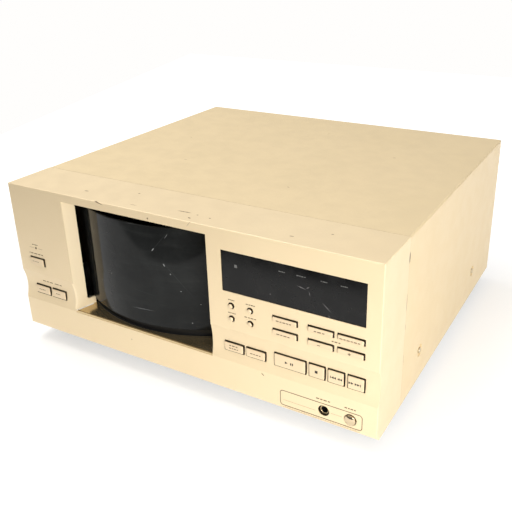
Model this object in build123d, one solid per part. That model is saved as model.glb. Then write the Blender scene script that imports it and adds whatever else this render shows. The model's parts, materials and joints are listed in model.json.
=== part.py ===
from build123d import *
import os
from math import acos, cos, pi, radians, sin, tan

# Rotary file-type disc changer for about a hundred 120 mm discs.
# Millimetres. While the pieces are drawn, Y = 0 is the front face, Z = 0 is the surface that the feet
# stand on and X = 0 is the middle. Each piece is moved along Y at the end, so that the origin lies under
# the middle of the whole machine. "Left" and "right" are as seen from the front.

# ---------------------------------------------------------------- case
CASE_W = 420.0            # width over the side walls
FOOT_H = 16.0             # floor to the underside of the case
CHIN_H = 5.0              # the underside of the case lies this far below the front face
CHIN_RUN = 5.5            # depth of the sloped chin under the front face
FACE_H = 167.2            # height of the front face
PANEL_D = 58.7            # depth of the front moulding
PANEL_WALL = 3.0          # wall of the front moulding
PANEL_CORNER_R = 0.8      # rounding of the moulding's outer edges
CORNER_IN = 0.32          # a rounding's middle lies this share of its radius in from the sharp corner
COVER_D = 327.4           # length of the sheet-metal cover
COVER_T = 1.0             # cover sheet
COVER_BEND_R = 2.0        # outer radius of the cover's two long bends
COVER_SEAM = 0.3          # gap between moulding and cover
COVER_FLANGE = 9.0        # turned-in rear edge of the cover
CHASSIS_T = 1.2           # bottom sheet
CHASSIS_SIDE_H = 42.0     # height of the bottom sheet's side flanges
REAR_T = 1.0              # rear sheet
SHEET_GAP = 0.2           # gap between sheets that lie on each other

FACE_Z = FOOT_H + CHIN_H
CASE_TOP = FACE_Z + FACE_H
HALF_W = CASE_W / 2
COVER_Y0 = PANEL_D + COVER_SEAM
CASE_D = COVER_Y0 + COVER_D
FLOOR_Z = FOOT_H + CHASSIS_T
REAR_Y1 = CASE_D - COVER_T - SHEET_GAP
REAR_Y0 = REAR_Y1 - REAR_T
COVER_IN_X = HALF_W - COVER_T

# ---------------------------------------------------------------- hollow band across the front
BAND_LOW = 32.5           # height above the face's lower edge where the band starts
BAND_HIGH = 67.3          # and where it ends
BAND_DEPTH = 3.4          # depth of the hollow at its middle

# ---------------------------------------------------------------- window and door
WINDOW_X0 = -135.5        # window in the front face
WINDOW_X1 = 41.5
WINDOW_Z0 = 33.8
WINDOW_Z1 = 158.5
REVEAL_T = 2.5            # walls of the window recess
REVEAL_D = 24.0           # their depth
REVEAL_SLANT = 6.6        # and how far they draw in over that depth
SLOT_Y = 14.5             # the door's slot in the left recess wall starts here
SLOT_Z = 41.6             # lower end of the slot
SLOT_R = 3.0              # its rounded corner
SHELF_T = 2.2             # floor plate of the recess
SHELF_SETBACK = 0.4       # its front edge behind the face
SHELF_LIP_T = 0.8         # raised lip along its front edge
SHELF_LIP_H = 0.5
SHELF_SIDE_GAP = 0.1      # gap to the recess walls
SHELF_PAST_DOOR = 3.2     # it reaches in under the door and past its inner face this far
LEDGE_T = 2.5             # rib of the moulding that carries the plate
LEDGE_D = 8.0

RACK_X = -52.6            # upright axis of the rack and the door
RACK_Y = 155.3
DOOR_R = 153.4            # outer radius of the curved door
DOOR_T = 2.2
DOOR_Z0 = 42.6            # heights above the face's lower edge
DOOR_Z1 = 151.4
DOOR_LEFT = 37.0          # degrees from the front, towards the left
DOOR_RIGHT = 41.0         # and towards the right
DOOR_EDGE = 0.6           # bevel of its outer edges
DOOR_OPEN = 74.0          # it turns this far to the left

SHELF_R = DOOR_R - DOOR_T - SHELF_PAST_DOOR       # the floor plate's inner edge, about the rack's axis

# ---------------------------------------------------------------- display window
DISPLAY_X0 = 57.0
DISPLAY_X1 = 196.3
DISPLAY_Z0 = 106.6
DISPLAY_Z1 = 147.1
DISPLAY_T = 2.0
DISPLAY_SETBACK = 0.8
DISPLAY_RIM = 3.5         # width of the seat round it
DISPLAY_SEAT_T = 2.2
DISPLAY_GAP = 0.1
TUBE_W = 126.0            # fluorescent display tube behind it
TUBE_H = 32.0
TUBE_T = 6.0
TUBE_PIN_L = 3.5
TUBE_PIN_T = 1.0

# ---------------------------------------------------------------- buttons
BUTTON_GAP = 1.0          # gap between a cap and its hole
BUTTON_TRAVEL = 1.2
BUTTON_PROUD = 2.3        # caps on the flat face stand out this far
BAND_BUTTON_Y = 1.0       # front of the caps in the hollow band
BUTTON_FLANGE = 0.6       # width of the collar that keeps a cap in its hole
BUTTON_FLANGE_T = 1.2
BUTTON_SEAT_GAP = 0.2     # collar to the back of the moulding
BUTTON_BEVEL = 0.8
BUTTON_CORNER_R = 1.0
HOLE_CORNER_R = 0.8       # corners of the holes for the rectangular caps
STEM_R = 1.6
SWITCH_W = 6.0            # square touch switch
SWITCH_T = 3.6
PLUNGER_R = 1.5
PLUNGER_L = 1.0
SWITCH_GAP = 0.1          # left between stem and plunger when a cap is pressed home

# caps on the flat face: name, hole's left, right, lower and upper edge
FACE_BUTTONS = [
    ("power_button", -194.0, -172.0, 76.4, 86.6),
    ("disc_button_a", 108.5, 134.1, 88.8, 95.5),
    ("disc_button_b", 108.5, 134.1, 75.4, 82.6),
    ("disc_button_c", 143.2, 168.5, 88.9, 95.6),
    ("disc_button_d", 143.2, 168.5, 75.4, 82.3),
    ("disc_button_e", 171.0, 196.6, 88.9, 95.6),
    ("disc_button_f", 171.0, 196.6, 75.4, 82.3),
]
# caps in the hollow band
BAND_BUTTONS = [
    ("timer_button", -195.5, -173.0, 40.2, 51.4),
    ("dimmer_button", -171.2, -149.8, 40.2, 51.4),
    ("open_close_button", 54.2, 76.4, 41.6, 52.2),
    ("unload_button", 77.9, 99.8, 41.6, 52.2),
    ("play_pause_button", 107.9, 141.0, 41.3, 55.8),
    ("stop_button", 142.8, 159.6, 41.3, 55.8),
    ("previous_button", 161.2, 178.0, 41.3, 55.8),
    ("next_button", 179.8, 196.8, 41.3, 55.8),
]
# round caps: name, centre
ROUND_BUTTONS = [
    ("mode_button_a", 65.8, 92.8),
    ("mode_button_b", 85.7, 92.8),
    ("mode_button_c", 65.8, 79.4),
    ("mode_button_d", 85.7, 79.4),
]
ROUND_HOLE_R = 3.3

# ---------------------------------------------------------------- phones socket and level knob
PHONES_X = 159.3
PHONES_Z = 11.3
PHONES_BORE_R = 3.2       # 6.35 mm plug
PHONES_HOLE_R = 5.5       # hole in the face
PHONES_NOSE_R = 4.9       # the socket's nose stands in it
PHONES_INSET = 2.2        # and lies this far behind the face
PHONES_BODY_W = 13.0
PHONES_BODY_D = 14.0
KNOB_X = 185.0
KNOB_Z = 10.9
KNOB_R = 5.2
KNOB_HOLE_R = 5.9         # the knob stands in this hole
KNOB_PROUD = 1.3          # its rim stands out of the face this far
KNOB_DOME = 0.8           # and its crowned front this much further
KNOB_EDGE = 0.3
KNOB_BACK = 5.0
KNOB_BUSH_GAP = 0.6       # knob to the bush
KNOB_SHAFT_R = 2.0
KNOB_SHAFT_L = 11.4
BUSH_R = 3.6
LEVEL_BODY_W = 12.0       # body of the rotary control
LEVEL_BODY_Y = 7.2        # its front
SHAFT_END_GAP = 0.5       # left past the end of a shaft in its bore
PANEL_HOLE_GAP = 0.6      # round the sockets in the rear sheet
RUNNING = 0.05            # radial running clearance of every shaft

# ---------------------------------------------------------------- circuit boards at the front
BOARD_Y = 18.0            # front of the boards behind the face
BOARD_T = 1.6
BOSS_R = 3.0
# x0, x1 and heights above the face's lower edge
KEY_BOARD = (-HALF_W + 4.5, -HALF_W + 68.5, 30.5, 104.0)
MAIN_KEY_BOARD = (46.5, HALF_W - 3.5, 30.2, 156.0)
PHONES_BOARD = (HALF_W - 70.0, HALF_W - 7.0, 0.0, 27.0)
BOSS_INSET = 4.5

# ---------------------------------------------------------------- disc rack
DISC_R = 60.0
DISC_T = 1.2
SLOTS = 100
DISC_REACH = 149.0        # rack axis to the outer edge of a stored disc
DISC_Z = 110.0            # height of the discs' centres
RACK_R = 143.0
RACK_FLOOR_T = 3.0
SLOT_W = 1.9              # slots of the outer comb
INNER_SLOT_W = 1.6        # and of the inner one
OUTER_COMB_W = 22.0
COMB_INSET = 0.5          # the outer comb stands this far in from the floor's edge
OUTER_COMB_H = 24.0
INNER_COMB_R = 37.0
INNER_COMB_W = 9.0
INNER_COMB_H = 27.0
HUB_R = 22.0
HUB_TOP_R = 17.0
HUB_H = 72.0
HUB_BOSS_R = 9.0
SPINDLE_R = 4.0
SKIRT_T = 3.0
HUB_SEAT = 0.05           # under the hub
SPINDLE_CAP_R = 7.0
SPINDLE_CAP_T = 2.0

# gears: straight teeth, 20 degree pressure angle
PRESSURE = radians(20)
BACKLASH = 0.3
TOOTH_TOP = 0.8           # height of a tooth above and depth below its pitch line, in modules
TOOTH_ROOT = 1.2
RACK_MODULE = 2.5
RACK_TEETH = 112
RACK_PINION_TEETH = 14
RACK_PINION_DEG = -90.0   # where the pinion stands, from the front towards the left
RACK_GEAR_Z = 26.0
RACK_GEAR_T = 7.0
DOOR_MODULE = 1.5
DOOR_TEETH = 198          # of a whole ring; the door carries a part of it
DOOR_PINION_TEETH = 14
DOOR_PINION_DEG = 37.0
DOOR_GEAR_Z = 44.0
DOOR_GEAR_T = 6.0
CARRIER_EXTRA = 4.0       # degrees of rim past the door's left edge
CARRIER_T = 2.5
CARRIER_GAP = 0.7         # rim to the recess's floor plate
CARRIER_LAP = 5.0         # the rim reaches up behind the door this far
CARRIER_WEB = 2.0         # web between the rim and the door
TRACK_GAP = 0.3           # rim to its track
TRACK_T = 3.0
TRACK_INSET = 0.5         # track behind the roots of the rim's teeth
TRACK_SPARE = 2.0         # degrees of track past the rim's ends
BASE_T = 2.8              # floor of the moulded base under the rack
BASE_BOSS_R = 14.0
BASE_RING_W = 14.0
BASE_SPOKE_W = 18.0
BASE_SPOKES = 6
MOTOR_R = 11.0
MOTOR_SHAFT_R = 1.5
MOTOR_SHAFT_L = 8.0       # length of a shaft inside its motor
MOTOR_EDGE_R = 1.0
PINION_GAP = 2.0          # door's motor to its pinion
RACK_MOTOR_H = 24.0
BRACKET_T = 1.5
BRACKET_Z = 40.0
BRACKET_W = 20.0
BRACKET_CLEAR = 3.0       # pinion to the bracket's legs
BRACKET_FOOT = 8.0
SHAFT_HOLE_R = 3.0        # hole that a motor's shaft passes through

# ---------------------------------------------------------------- transport, drawn along its own X
TRANSPORT_DEG = 45.0      # direction from the rack's axis, from +X towards +Y
PLAY_GAP = 2.0            # a disc being played stands this far off the stored ones
FRAME_U0 = 157.0
FRAME_U1 = 288.0
FRAME_V = -20.0           # back of the upright plate, beside the disc
FRAME_T = 2.0
FRAME_Z0 = 27.0
FRAME_Z1 = 176.0
FRAME_FOOT_V0 = -44.0
FRAME_FOOT_V1 = 12.0
FRAME_TOP_V1 = 22.0
FRAME_TOP_U0 = 186.0
FRAME_TOP_U1 = 236.0
FRAME_HOLES = [(-38.0, 34.0, 18.0), (46.0, 42.0, 14.0)]       # from the disc's centre: u, z, radius
TABLE_HOLE_R = 5.0
DAMPER_R = 6.0
DAMPER_INSET = 8.0
TABLE_R = 15.0
TABLE_T = 2.2
TABLE_HUB_R = 7.4
TABLE_HUB_H = 1.8
TABLE_HUB_EDGE = 0.8
TABLE_GAP = 0.3           # a disc's face to the table, in its middle place
TABLE_MOTOR_R = 12.0
TABLE_MOTOR_L = 14.0
SLED_W = 24.0
SLED_H = 42.0
SLED_V0 = -16.0
SLED_V1 = -6.0
SLED_START = 25.0         # lens to disc centre at rest
SLED_TRAVEL = 33.0
LENS_R = 4.5
LENS_H = 2.6
ROD_R = 1.5
ROD_V = -11.0
ROD_SPREAD = 32.0
ROD_TAB_T = 4.0
ROD_TAB_W = 8.0
ROD_END_GAP = 1.0         # sled to the rods' tabs at both ends of its travel
SLED_MODULE = 1.0
SLED_GEAR_TEETH = 12
SLED_RACK_TEETH = 13
SLED_GEAR_T = 3.0
SLED_GEAR_DU = 39.0       # gear centre past the disc's centre
SLED_RACK_BODY = 2.0
SLED_NOTCH_V = -8.5       # the sled is cut back below its lens to here
SLED_NOTCH_H = 10.0
FEED_R = 8.0
FEED_W = 10.0
FEED_GROOVE = 1.5
FEED_U = 166.0
FEED_MOTOR_R = 8.0
FEED_MOTOR_L = 16.0
GUIDE_L = 50.0
GUIDE_H = 13.0
GUIDE_V1 = 5.0
GUIDE_GAP = 0.6
GUIDE_LIP = 2.0           # the cradle's lips reach in over the disc's edge this far
CLAMP_V = 16.0
CLAMP_PIVOT_Z = 170.0
CLAMP_PIN_R = 1.5
CLAMP_BARREL_R = 3.0
EAR_R = 4.0
EAR_GAP = 0.3             # clamp arm to the ears beside it
PIN_SPARE = 1.0           # the pin stands out of the ears this far
CLAMP_W = 14.0
CLAMP_T = 2.4
CLAMP_TAIL = 8.0
PUCK_R = 13.0
PUCK_T = 4.0
PUCK_V = 4.5
PUCK_RECESS_R = 8.5
PUCK_RECESS = 2.0
PUCK_COLLAR_R = 3.0
PUCK_SHAFT_R = 1.5
PUCK_SHAFT_SPARE = 2.0    # its shaft stands out behind the arm this far
PUCK_END_GAP = 0.2        # its collar to the arm

# ---------------------------------------------------------------- inside and rear
FOOT_R = 20.0
FOOT_TOP_R = 17.0
FOOT_WEB = 4.0            # top of a foot, under its screw's head
FOOT_PAD_R = 15.0
FOOT_PAD_T = 2.0
FOOT_X = HALF_W - 38.0
FOOT_Y0 = 62.0
FOOT_Y1 = CASE_D - 46.4
SCREW_R = 1.5
SCREW_HEAD_R = 3.0
SCREW_HEAD_H = 1.8
SCREW_L = 6.0
SCREW_CROSS_L = 2.6
SCREW_CROSS_W = 0.6
DIMPLE_R = 6.5
DIMPLE_D = 1.2
SIDE_SCREW_Y = (107.5, 300.0)
SIDE_SCREW_Z = 28.0       # above the face's lower edge
REAR_SCREWS = [(-HALF_W + 8.0, 120.0), (0.0, CASE_TOP - 5.6), (HALF_W - 8.0, 120.0)]
CONTROL_BOARD = (HALF_W - 82.0, HALF_W - 5.0, 72.0, 262.0)
AUDIO_BOARD = (-104.0, 44.0, REAR_Y0 - 64.2, REAR_Y0 - 1.2)
STANDOFF_H = 8.0
STANDOFF_R = 3.0
# chips, sockets and cans on the boards, from a board's left front corner:
# left, right, front, rear, height; and for round ones: x, y, radius, height
CONTROL_PARTS = [
    (22.0, 44.0, 70.0, 92.0, 3.0),
    (20.0, 50.0, 110.0, 120.0, 4.0),
    (12.0, 42.0, 8.0, 14.0, 9.0),
    (65.0, 68.0, 120.0, 170.0, 30.0),
]
CONTROL_CANS = [(57.0, 30.0, 5.0, 16.0), (57.0, 46.0, 5.0, 16.0), (57.0, 62.0, 5.0, 16.0),
                (57.0, 78.0, 5.0, 16.0)]
AUDIO_PARTS = [
    (60.0, 75.0, 20.0, 35.0, 3.0),
    (10.0, 13.0, 12.0, 50.0, 26.0),
]
AUDIO_CANS = [(30.0, 12.0, 4.5, 14.0), (30.0, 25.0, 4.5, 14.0), (30.0, 38.0, 4.5, 14.0),
              (30.0, 51.0, 4.5, 14.0), (130.0, 12.0, 3.0, 9.0), (130.0, 22.0, 3.0, 9.0),
              (130.0, 32.0, 3.0, 9.0), (130.0, 42.0, 3.0, 9.0)]
TRANSFORMER = (-HALF_W + 14.0, -HALF_W + 78.0, REAR_Y0 - 62.2, REAR_Y0 - 8.2)
TRANSFORMER_H = 46.0
CORE_INSET = 12.0         # the winding stands out of the core this far at both ends
WINDING_INSET = 8.0       # and the core round the winding
WINDING_R = 6.0
LUG_T = 3.0
LUG_L = 10.0
LUG_HOLE_R = 2.1
JACK_X = 0.0
JACK_Z = 44.0
JACK_PITCH = 15.0
JACK_PROUD = 9.0
JACK_R = 4.2
JACK_BORE_R = 1.7
JACK_BLOCK_D = 14.0
JACK_BLOCK_TOP = 8.0      # block above the sockets' middle
JACK_BORE_D = 8.0
OPTICAL_X = -42.0
OPTICAL_W = 11.0          # square snout
OPTICAL_MOUTH = 6.0
OPTICAL_MOUTH_D = 7.0
OPTICAL_PROUD = 2.0
INLET_X = -HALF_W + 45.0
INLET_Z = 96.0
INLET_W = 22.0
INLET_H = 14.0
INLET_D = 18.0
INLET_FLANGE = 2.0
INLET_PIN_R = 1.2
INLET_PIN_X = 4.2         # pins to either side of the middle
INLET_RIM = 2.5           # flange round the body
INLET_MOUTH_W = 16.0
INLET_MOUTH_H = 9.0
INLET_MOUTH_D = 14.0
VENT_W = 3.0
VENT_L = 44.0
VENT_PITCH = 8.0
VENT_COUNT = 9
FLOOR_VENT_X = (-150.0, 100.0)
FLOOR_VENT_Y = 70.0
REAR_VENT_X = -110.0      # first slot; the others follow to the left
REAR_VENT_Z = 130.0

PLAY_U = DISC_REACH + DISC_R + PLAY_GAP            # rack axis to the centre of a disc being played
DEPTH_FRONT = KNOB_PROUD + KNOB_DOME              # the knob stands out furthest in front
DEPTH_BACK = REAR_Y1 + JACK_PROUD                 # and the sockets furthest behind
ORIGIN_Y = (DEPTH_BACK - DEPTH_FRONT) / 2         # where the finished origin lies in this frame


# ================================================================ small helpers
def block(x0, x1, y0, y1, z0, z1):
    """A box between two corners."""
    return Pos((x0 + x1) / 2, (y0 + y1) / 2, (z0 + z1) / 2) * Box(x1 - x0, y1 - y0, z1 - z0)


def rod_x(y, z, r, x0, x1):
    return Pos((x0 + x1) / 2, y, z) * Rot(0, 90, 0) * Cylinder(r, x1 - x0)


def rod_y(x, z, r, y0, y1):
    return Pos(x, (y0 + y1) / 2, z) * Rot(90, 0, 0) * Cylinder(r, y1 - y0)


def rod_z(x, y, r, z0, z1):
    return Pos(x, y, (z0 + z1) / 2) * Cylinder(r, z1 - z0)


def at_rack(shape):
    """Moves a shape drawn about the rack's axis to its place."""
    return Pos(RACK_X, RACK_Y, 0) * shape


def in_transport(shape):
    """Moves a shape drawn along the transport's own axes to its place."""
    return Pos(RACK_X, RACK_Y, 0) * Rot(0, 0, TRANSPORT_DEG) * shape


def around_rack(radius, left_deg):
    """A point at a radius from the rack's axis, at an angle from the front towards the left."""
    return (RACK_X - radius * sin(radians(left_deg)), RACK_Y - radius * cos(radians(left_deg)))


def arc_wall(r_in, r_out, right_deg, left_deg, z0, z1):
    """Part of a ring about the rack's axis, between two angles from the front towards the left."""
    start = -90 - left_deg
    outer = CenterArc((0, 0), r_out, start, left_deg - right_deg)
    inner = CenterArc((0, 0), r_in, start, left_deg - right_deg)
    outline = [outer, Line(outer @ 1, inner @ 1), inner, Line(inner @ 0, outer @ 0)]
    return at_rack(Pos(0, 0, z0) * extrude(make_face(outline), z1 - z0))


def rounded_prism_y(x0, x1, z0, z1, r, y0, y1):
    """A rounded rectangle in the X-Z plane, drawn out along Y."""
    sketch = RectangleRounded(x1 - x0, z1 - z0, r)
    return Pos((x0 + x1) / 2, y1, (z0 + z1) / 2) * Rot(90, 0, 0) * extrude(sketch, y1 - y0)


def polar(radius, angle):
    return (radius * cos(angle), radius * sin(angle))


def flank_angle(radius, module, teeth):
    """Half the angle that a tooth takes up at a radius: an involute, less the backlash."""
    pitch_r = module * teeth / 2
    roll = acos(min(1.0, pitch_r * cos(PRESSURE) / radius))
    half = pi / (2 * teeth) + (tan(PRESSURE) - PRESSURE) - (tan(roll) - roll)
    return half - BACKLASH / (4 * pitch_r)


def tooth_points(module, teeth, centre_angle, radii):
    """One tooth: up one flank through the radii and down the other."""
    rise = [polar(r, centre_angle - flank_angle(r, module, teeth)) for r in radii]
    fall = [polar(r, centre_angle + flank_angle(r, module, teeth)) for r in reversed(radii)]
    return rise + fall


def gear_face(module, teeth, first_angle, steps):
    """A whole gear's outline with a tooth centred on first_angle."""
    root = module * (teeth / 2 - TOOTH_ROOT)
    tip = module * (teeth / 2 + TOOTH_TOP)
    radii = [root + (tip - root) * i / steps for i in range(steps + 1)]
    points = []
    for i in range(teeth):
        points += tooth_points(module, teeth, first_angle + 2 * pi * i / teeth, radii)
    return make_face(Polyline(points, close=True))


# ================================================================ front moulding
def face_line(shift):
    """The front's side view, from the chin to the top, moved back by shift."""
    low = FACE_Z + BAND_LOW
    high = FACE_Z + BAND_HIGH
    scoop = ThreePointArc((shift, low), (shift + BAND_DEPTH, (low + high) / 2), (shift, high))
    return [scoop], (shift, low), (shift, high)


def side_prism(edges, half_width):
    """Draws a Y-Z outline out along X, evenly about the middle."""
    face = make_face(edges)
    turned = Plane((0, 0, 0), x_dir=(0, 1, 0), z_dir=(1, 0, 0)) * face
    return Pos(-half_width, 0, 0) * extrude(turned, 2 * half_width)


def rounded_end(half_width, length, r):
    """A rectangle up from the X axis with its two far corners rounded."""
    inner = half_width - r
    mid_x = half_width - CORNER_IN * r
    mid_y = length - CORNER_IN * r
    outline = [
        Line((half_width, 0), (half_width, length - r)),
        ThreePointArc((half_width, length - r), (mid_x, mid_y), (inner, length)),
        Line((inner, length), (-inner, length)),
        ThreePointArc((-inner, length), (-mid_x, mid_y), (-half_width, length - r)),
        Line((-half_width, length - r), (-half_width, 0)),
        Line((-half_width, 0), (half_width, 0)),
    ]
    return make_face(outline)


def panel_envelope():
    """The moulding's outside as one solid."""
    curve, low, high = face_line(0.0)
    r = PANEL_CORNER_R
    chin = (CHIN_RUN, FOOT_H)
    face_foot = (0.0, FACE_Z)
    mid = CORNER_IN * r
    corner = ThreePointArc((0.0, CASE_TOP - r), (mid, CASE_TOP - mid), (r, CASE_TOP))
    edges = curve + [
        Line(high, (0.0, CASE_TOP - r)),
        corner,
        Line((r, CASE_TOP), (PANEL_D, CASE_TOP)),
        Line((PANEL_D, CASE_TOP), (PANEL_D, FOOT_H)),
        Line((PANEL_D, FOOT_H), chin),
        Line(chin, face_foot),
        Line(face_foot, low),
    ]
    prism = side_prism(edges, HALF_W)
    plan = Pos(0, PANEL_D, 0) * Rot(0, 0, 180) * extrude(rounded_end(HALF_W, PANEL_D, r), CASE_TOP)
    front = Pos(0, PANEL_D, 0) * Rot(90, 0, 0) * extrude(rounded_end(HALF_W, CASE_TOP, r), PANEL_D)
    return prism & plan & front


def panel_cavity():
    """The open space inside the moulding, open behind and below."""
    curve, low, high = face_line(PANEL_WALL)
    top = CASE_TOP - PANEL_WALL
    sole = CHIN_RUN + PANEL_WALL
    edges = curve + [
        Line(high, (PANEL_WALL, top)),
        Line((PANEL_WALL, top), (PANEL_D + 1, top)),
        Line((PANEL_D + 1, top), (PANEL_D + 1, FOOT_H - 1)),
        Line((PANEL_D + 1, FOOT_H - 1), (sole, FOOT_H - 1)),
        Line((sole, FOOT_H - 1), (sole, FOOT_H + PANEL_WALL)),
        Line((sole, FOOT_H + PANEL_WALL), (PANEL_WALL, FACE_Z + PANEL_WALL / 2)),
        Line((PANEL_WALL, FACE_Z + PANEL_WALL / 2), low),
    ]
    return side_prism(edges, HALF_W - PANEL_WALL)


def reveal_x(y, side):
    """Inner face of a recess wall at a depth; side is -1 for the left wall, 1 for the right."""
    drawn_in = REVEAL_SLANT * y / REVEAL_D
    return WINDOW_X0 + drawn_in if side < 0 else WINDOW_X1 - drawn_in


def reveal_wall(side):
    """A slanted side wall of the window recess."""
    out = side * REVEAL_T
    y0 = -1.0
    points = [
        (reveal_x(y0, side), y0),
        (reveal_x(REVEAL_D, side), REVEAL_D),
        (reveal_x(REVEAL_D, side) + out, REVEAL_D),
        (reveal_x(y0, side) + out, y0),
    ]
    z0 = FACE_Z + WINDOW_Z0 - SHELF_T - LEDGE_T
    z1 = FACE_Z + WINDOW_Z1 + REVEAL_T
    return Pos(0, 0, z0) * extrude(make_face(Polyline(points, close=True)), z1 - z0)


def window_space():
    """What is cut out of the moulding for the window: open from the face to the recess's back."""
    y0 = -1.0
    y1 = REVEAL_D + 1
    points = [
        (reveal_x(y0, -1), y0),
        (reveal_x(y1, -1), y1),
        (reveal_x(y1, 1), y1),
        (reveal_x(y0, 1), y0),
    ]
    z0 = FACE_Z + WINDOW_Z0 - SHELF_T
    return Pos(0, 0, z0) * extrude(make_face(Polyline(points, close=True)), FACE_Z + WINDOW_Z1 - z0)


def slot_space():
    """The door's way through the left recess wall, with a rounded lower corner."""
    z0 = FACE_Z + SLOT_Z
    z1 = FACE_Z + WINDOW_Z1
    y1 = REVEAL_D + SLOT_R + 1
    sketch = Rectangle(y1 - SLOT_Y, z1 - z0)
    sketch = fillet(sketch.vertices().filter_by_position(Axis.X, -99, 0).group_by(Axis.Y)[0], SLOT_R)
    face = Plane((0, (SLOT_Y + y1) / 2, (z0 + z1) / 2), x_dir=(0, 1, 0), z_dir=(1, 0, 0)) * sketch
    x0 = WINDOW_X0 - REVEAL_T - 1
    x1 = reveal_x(REVEAL_D, -1) + 1
    return Pos(x0, 0, 0) * extrude(face, x1 - x0)


def board_bosses(board):
    """Four posts from the back of the face to a board's corners."""
    x0, x1, z0, z1 = board
    posts = []
    for x in (x0 + BOSS_INSET, x1 - BOSS_INSET):
        for z in (z0 + BOSS_INSET, z1 - BOSS_INSET):
            posts.append(rod_y(x, FACE_Z + z, BOSS_R, 0.5, BOARD_Y))
    return posts


def front_panel():
    envelope = panel_envelope()
    shell = envelope - panel_cavity()
    ledge_top = FACE_Z + WINDOW_Z0 - SHELF_T
    ledge = block(WINDOW_X0 - REVEAL_T, WINDOW_X1 + REVEAL_T, 0.5, PANEL_WALL + LEDGE_D,
                  ledge_top - LEDGE_T, ledge_top) - rod_z(RACK_X, RACK_Y, SHELF_R, 0, CASE_TOP)
    ceiling = block(WINDOW_X0 - REVEAL_T, WINDOW_X1 + REVEAL_T, 0.5, SLOT_Y,
                    FACE_Z + WINDOW_Z1, FACE_Z + WINDOW_Z1 + REVEAL_T)
    seat = block(DISPLAY_X0 - DISPLAY_RIM, DISPLAY_X1 + DISPLAY_RIM, PANEL_WALL / 2,
                 DISPLAY_SETBACK + DISPLAY_T + DISPLAY_SEAT_T,
                 FACE_Z + DISPLAY_Z0 - DISPLAY_RIM, FACE_Z + DISPLAY_Z1 + DISPLAY_RIM)
    walls = [(reveal_wall(side) & envelope) for side in (-1, 1)]
    posts = []
    for board in (KEY_BOARD, MAIN_KEY_BOARD, PHONES_BOARD):
        posts += [post & envelope for post in board_bosses(board)]
    body = shell + [ledge, ceiling, seat] + walls + posts
    body -= window_space()
    body -= slot_space()
    body -= block(DISPLAY_X0, DISPLAY_X1, -1, DISPLAY_SETBACK + DISPLAY_T,
                  FACE_Z + DISPLAY_Z0, FACE_Z + DISPLAY_Z1)
    body -= block(DISPLAY_X0 + DISPLAY_RIM, DISPLAY_X1 - DISPLAY_RIM, -1, BOARD_Y,
                  FACE_Z + DISPLAY_Z0 + DISPLAY_RIM, FACE_Z + DISPLAY_Z1 - DISPLAY_RIM)
    holes = []
    for _, x0, x1, z0, z1 in FACE_BUTTONS + BAND_BUTTONS:
        holes.append(rounded_prism_y(x0, x1, FACE_Z + z0, FACE_Z + z1, HOLE_CORNER_R, -1, BOARD_Y / 2))
    for _, x, z in ROUND_BUTTONS:
        holes.append(rod_y(x, FACE_Z + z, ROUND_HOLE_R, -1, BOARD_Y / 2))
    holes.append(rod_y(PHONES_X, FACE_Z + PHONES_Z, PHONES_HOLE_R, -1, BOARD_Y / 2))
    holes.append(rod_y(KNOB_X, FACE_Z + KNOB_Z, KNOB_HOLE_R, -1, BOARD_Y / 2))
    return body - holes


def window_shelf():
    """Floor plate of the window recess: its inner edge follows the door, a lip runs along its front."""
    top = FACE_Z + WINDOW_Z0
    y0 = SHELF_SETBACK
    y1 = 2 * REVEAL_D
    points = [
        (reveal_x(y0, -1) + SHELF_SIDE_GAP, y0),
        (reveal_x(REVEAL_D, -1) + SHELF_SIDE_GAP, REVEAL_D),
        (reveal_x(REVEAL_D, -1) + SHELF_SIDE_GAP, y1),
        (reveal_x(REVEAL_D, 1) - SHELF_SIDE_GAP, y1),
        (reveal_x(REVEAL_D, 1) - SHELF_SIDE_GAP, REVEAL_D),
        (reveal_x(y0, 1) - SHELF_SIDE_GAP, y0),
    ]
    plate = Pos(0, 0, top - SHELF_T) * extrude(make_face(Polyline(points, close=True)), SHELF_T)
    lip = block(reveal_x(y0, -1) + 1, reveal_x(y0, 1) - 1, y0 + SHELF_LIP_T, y0 + 2 * SHELF_LIP_T,
                top - SHELF_T / 2, top + SHELF_LIP_H)
    return plate + lip - rod_z(RACK_X, RACK_Y, SHELF_R, 0, CASE_TOP)


def display_window():
    y1 = DISPLAY_SETBACK + DISPLAY_T
    return block(DISPLAY_X0 + DISPLAY_GAP, DISPLAY_X1 - DISPLAY_GAP, DISPLAY_SETBACK, y1,
                 FACE_Z + DISPLAY_Z0 + DISPLAY_GAP, FACE_Z + DISPLAY_Z1 - DISPLAY_GAP)


# ================================================================ buttons and their switches
def stem_end():
    """Where every stem ends, so that the switches stop it after its travel."""
    return BOARD_Y - SWITCH_T - PLUNGER_L - BUTTON_TRAVEL - SWITCH_GAP


def wall_back(z):
    """Back of the moulding's front wall at a height above the face's lower edge."""
    in_band = BAND_LOW < z < BAND_HIGH
    return PANEL_WALL + (BAND_DEPTH if in_band else 0.0)


def cap_button(x0, x1, z0, z1, y_front):
    """A bevelled rectangular cap with a keeping collar and a stem."""
    mid_z = (z0 + z1) / 2
    back = wall_back(mid_z) + BUTTON_SEAT_GAP
    cap = rounded_prism_y(x0 + BUTTON_GAP, x1 - BUTTON_GAP, FACE_Z + z0 + BUTTON_GAP,
                          FACE_Z + z1 - BUTTON_GAP, BUTTON_CORNER_R, y_front, back)
    cap = chamfer(cap.faces().sort_by(Axis.Y)[0].edges(), BUTTON_BEVEL)
    collar = block(x0 - BUTTON_FLANGE, x1 + BUTTON_FLANGE, back, back + BUTTON_FLANGE_T,
                   FACE_Z + z0 - BUTTON_FLANGE, FACE_Z + z1 + BUTTON_FLANGE)
    stem = rod_y((x0 + x1) / 2, FACE_Z + mid_z, STEM_R, back, stem_end())
    return cap + collar + stem


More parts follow.
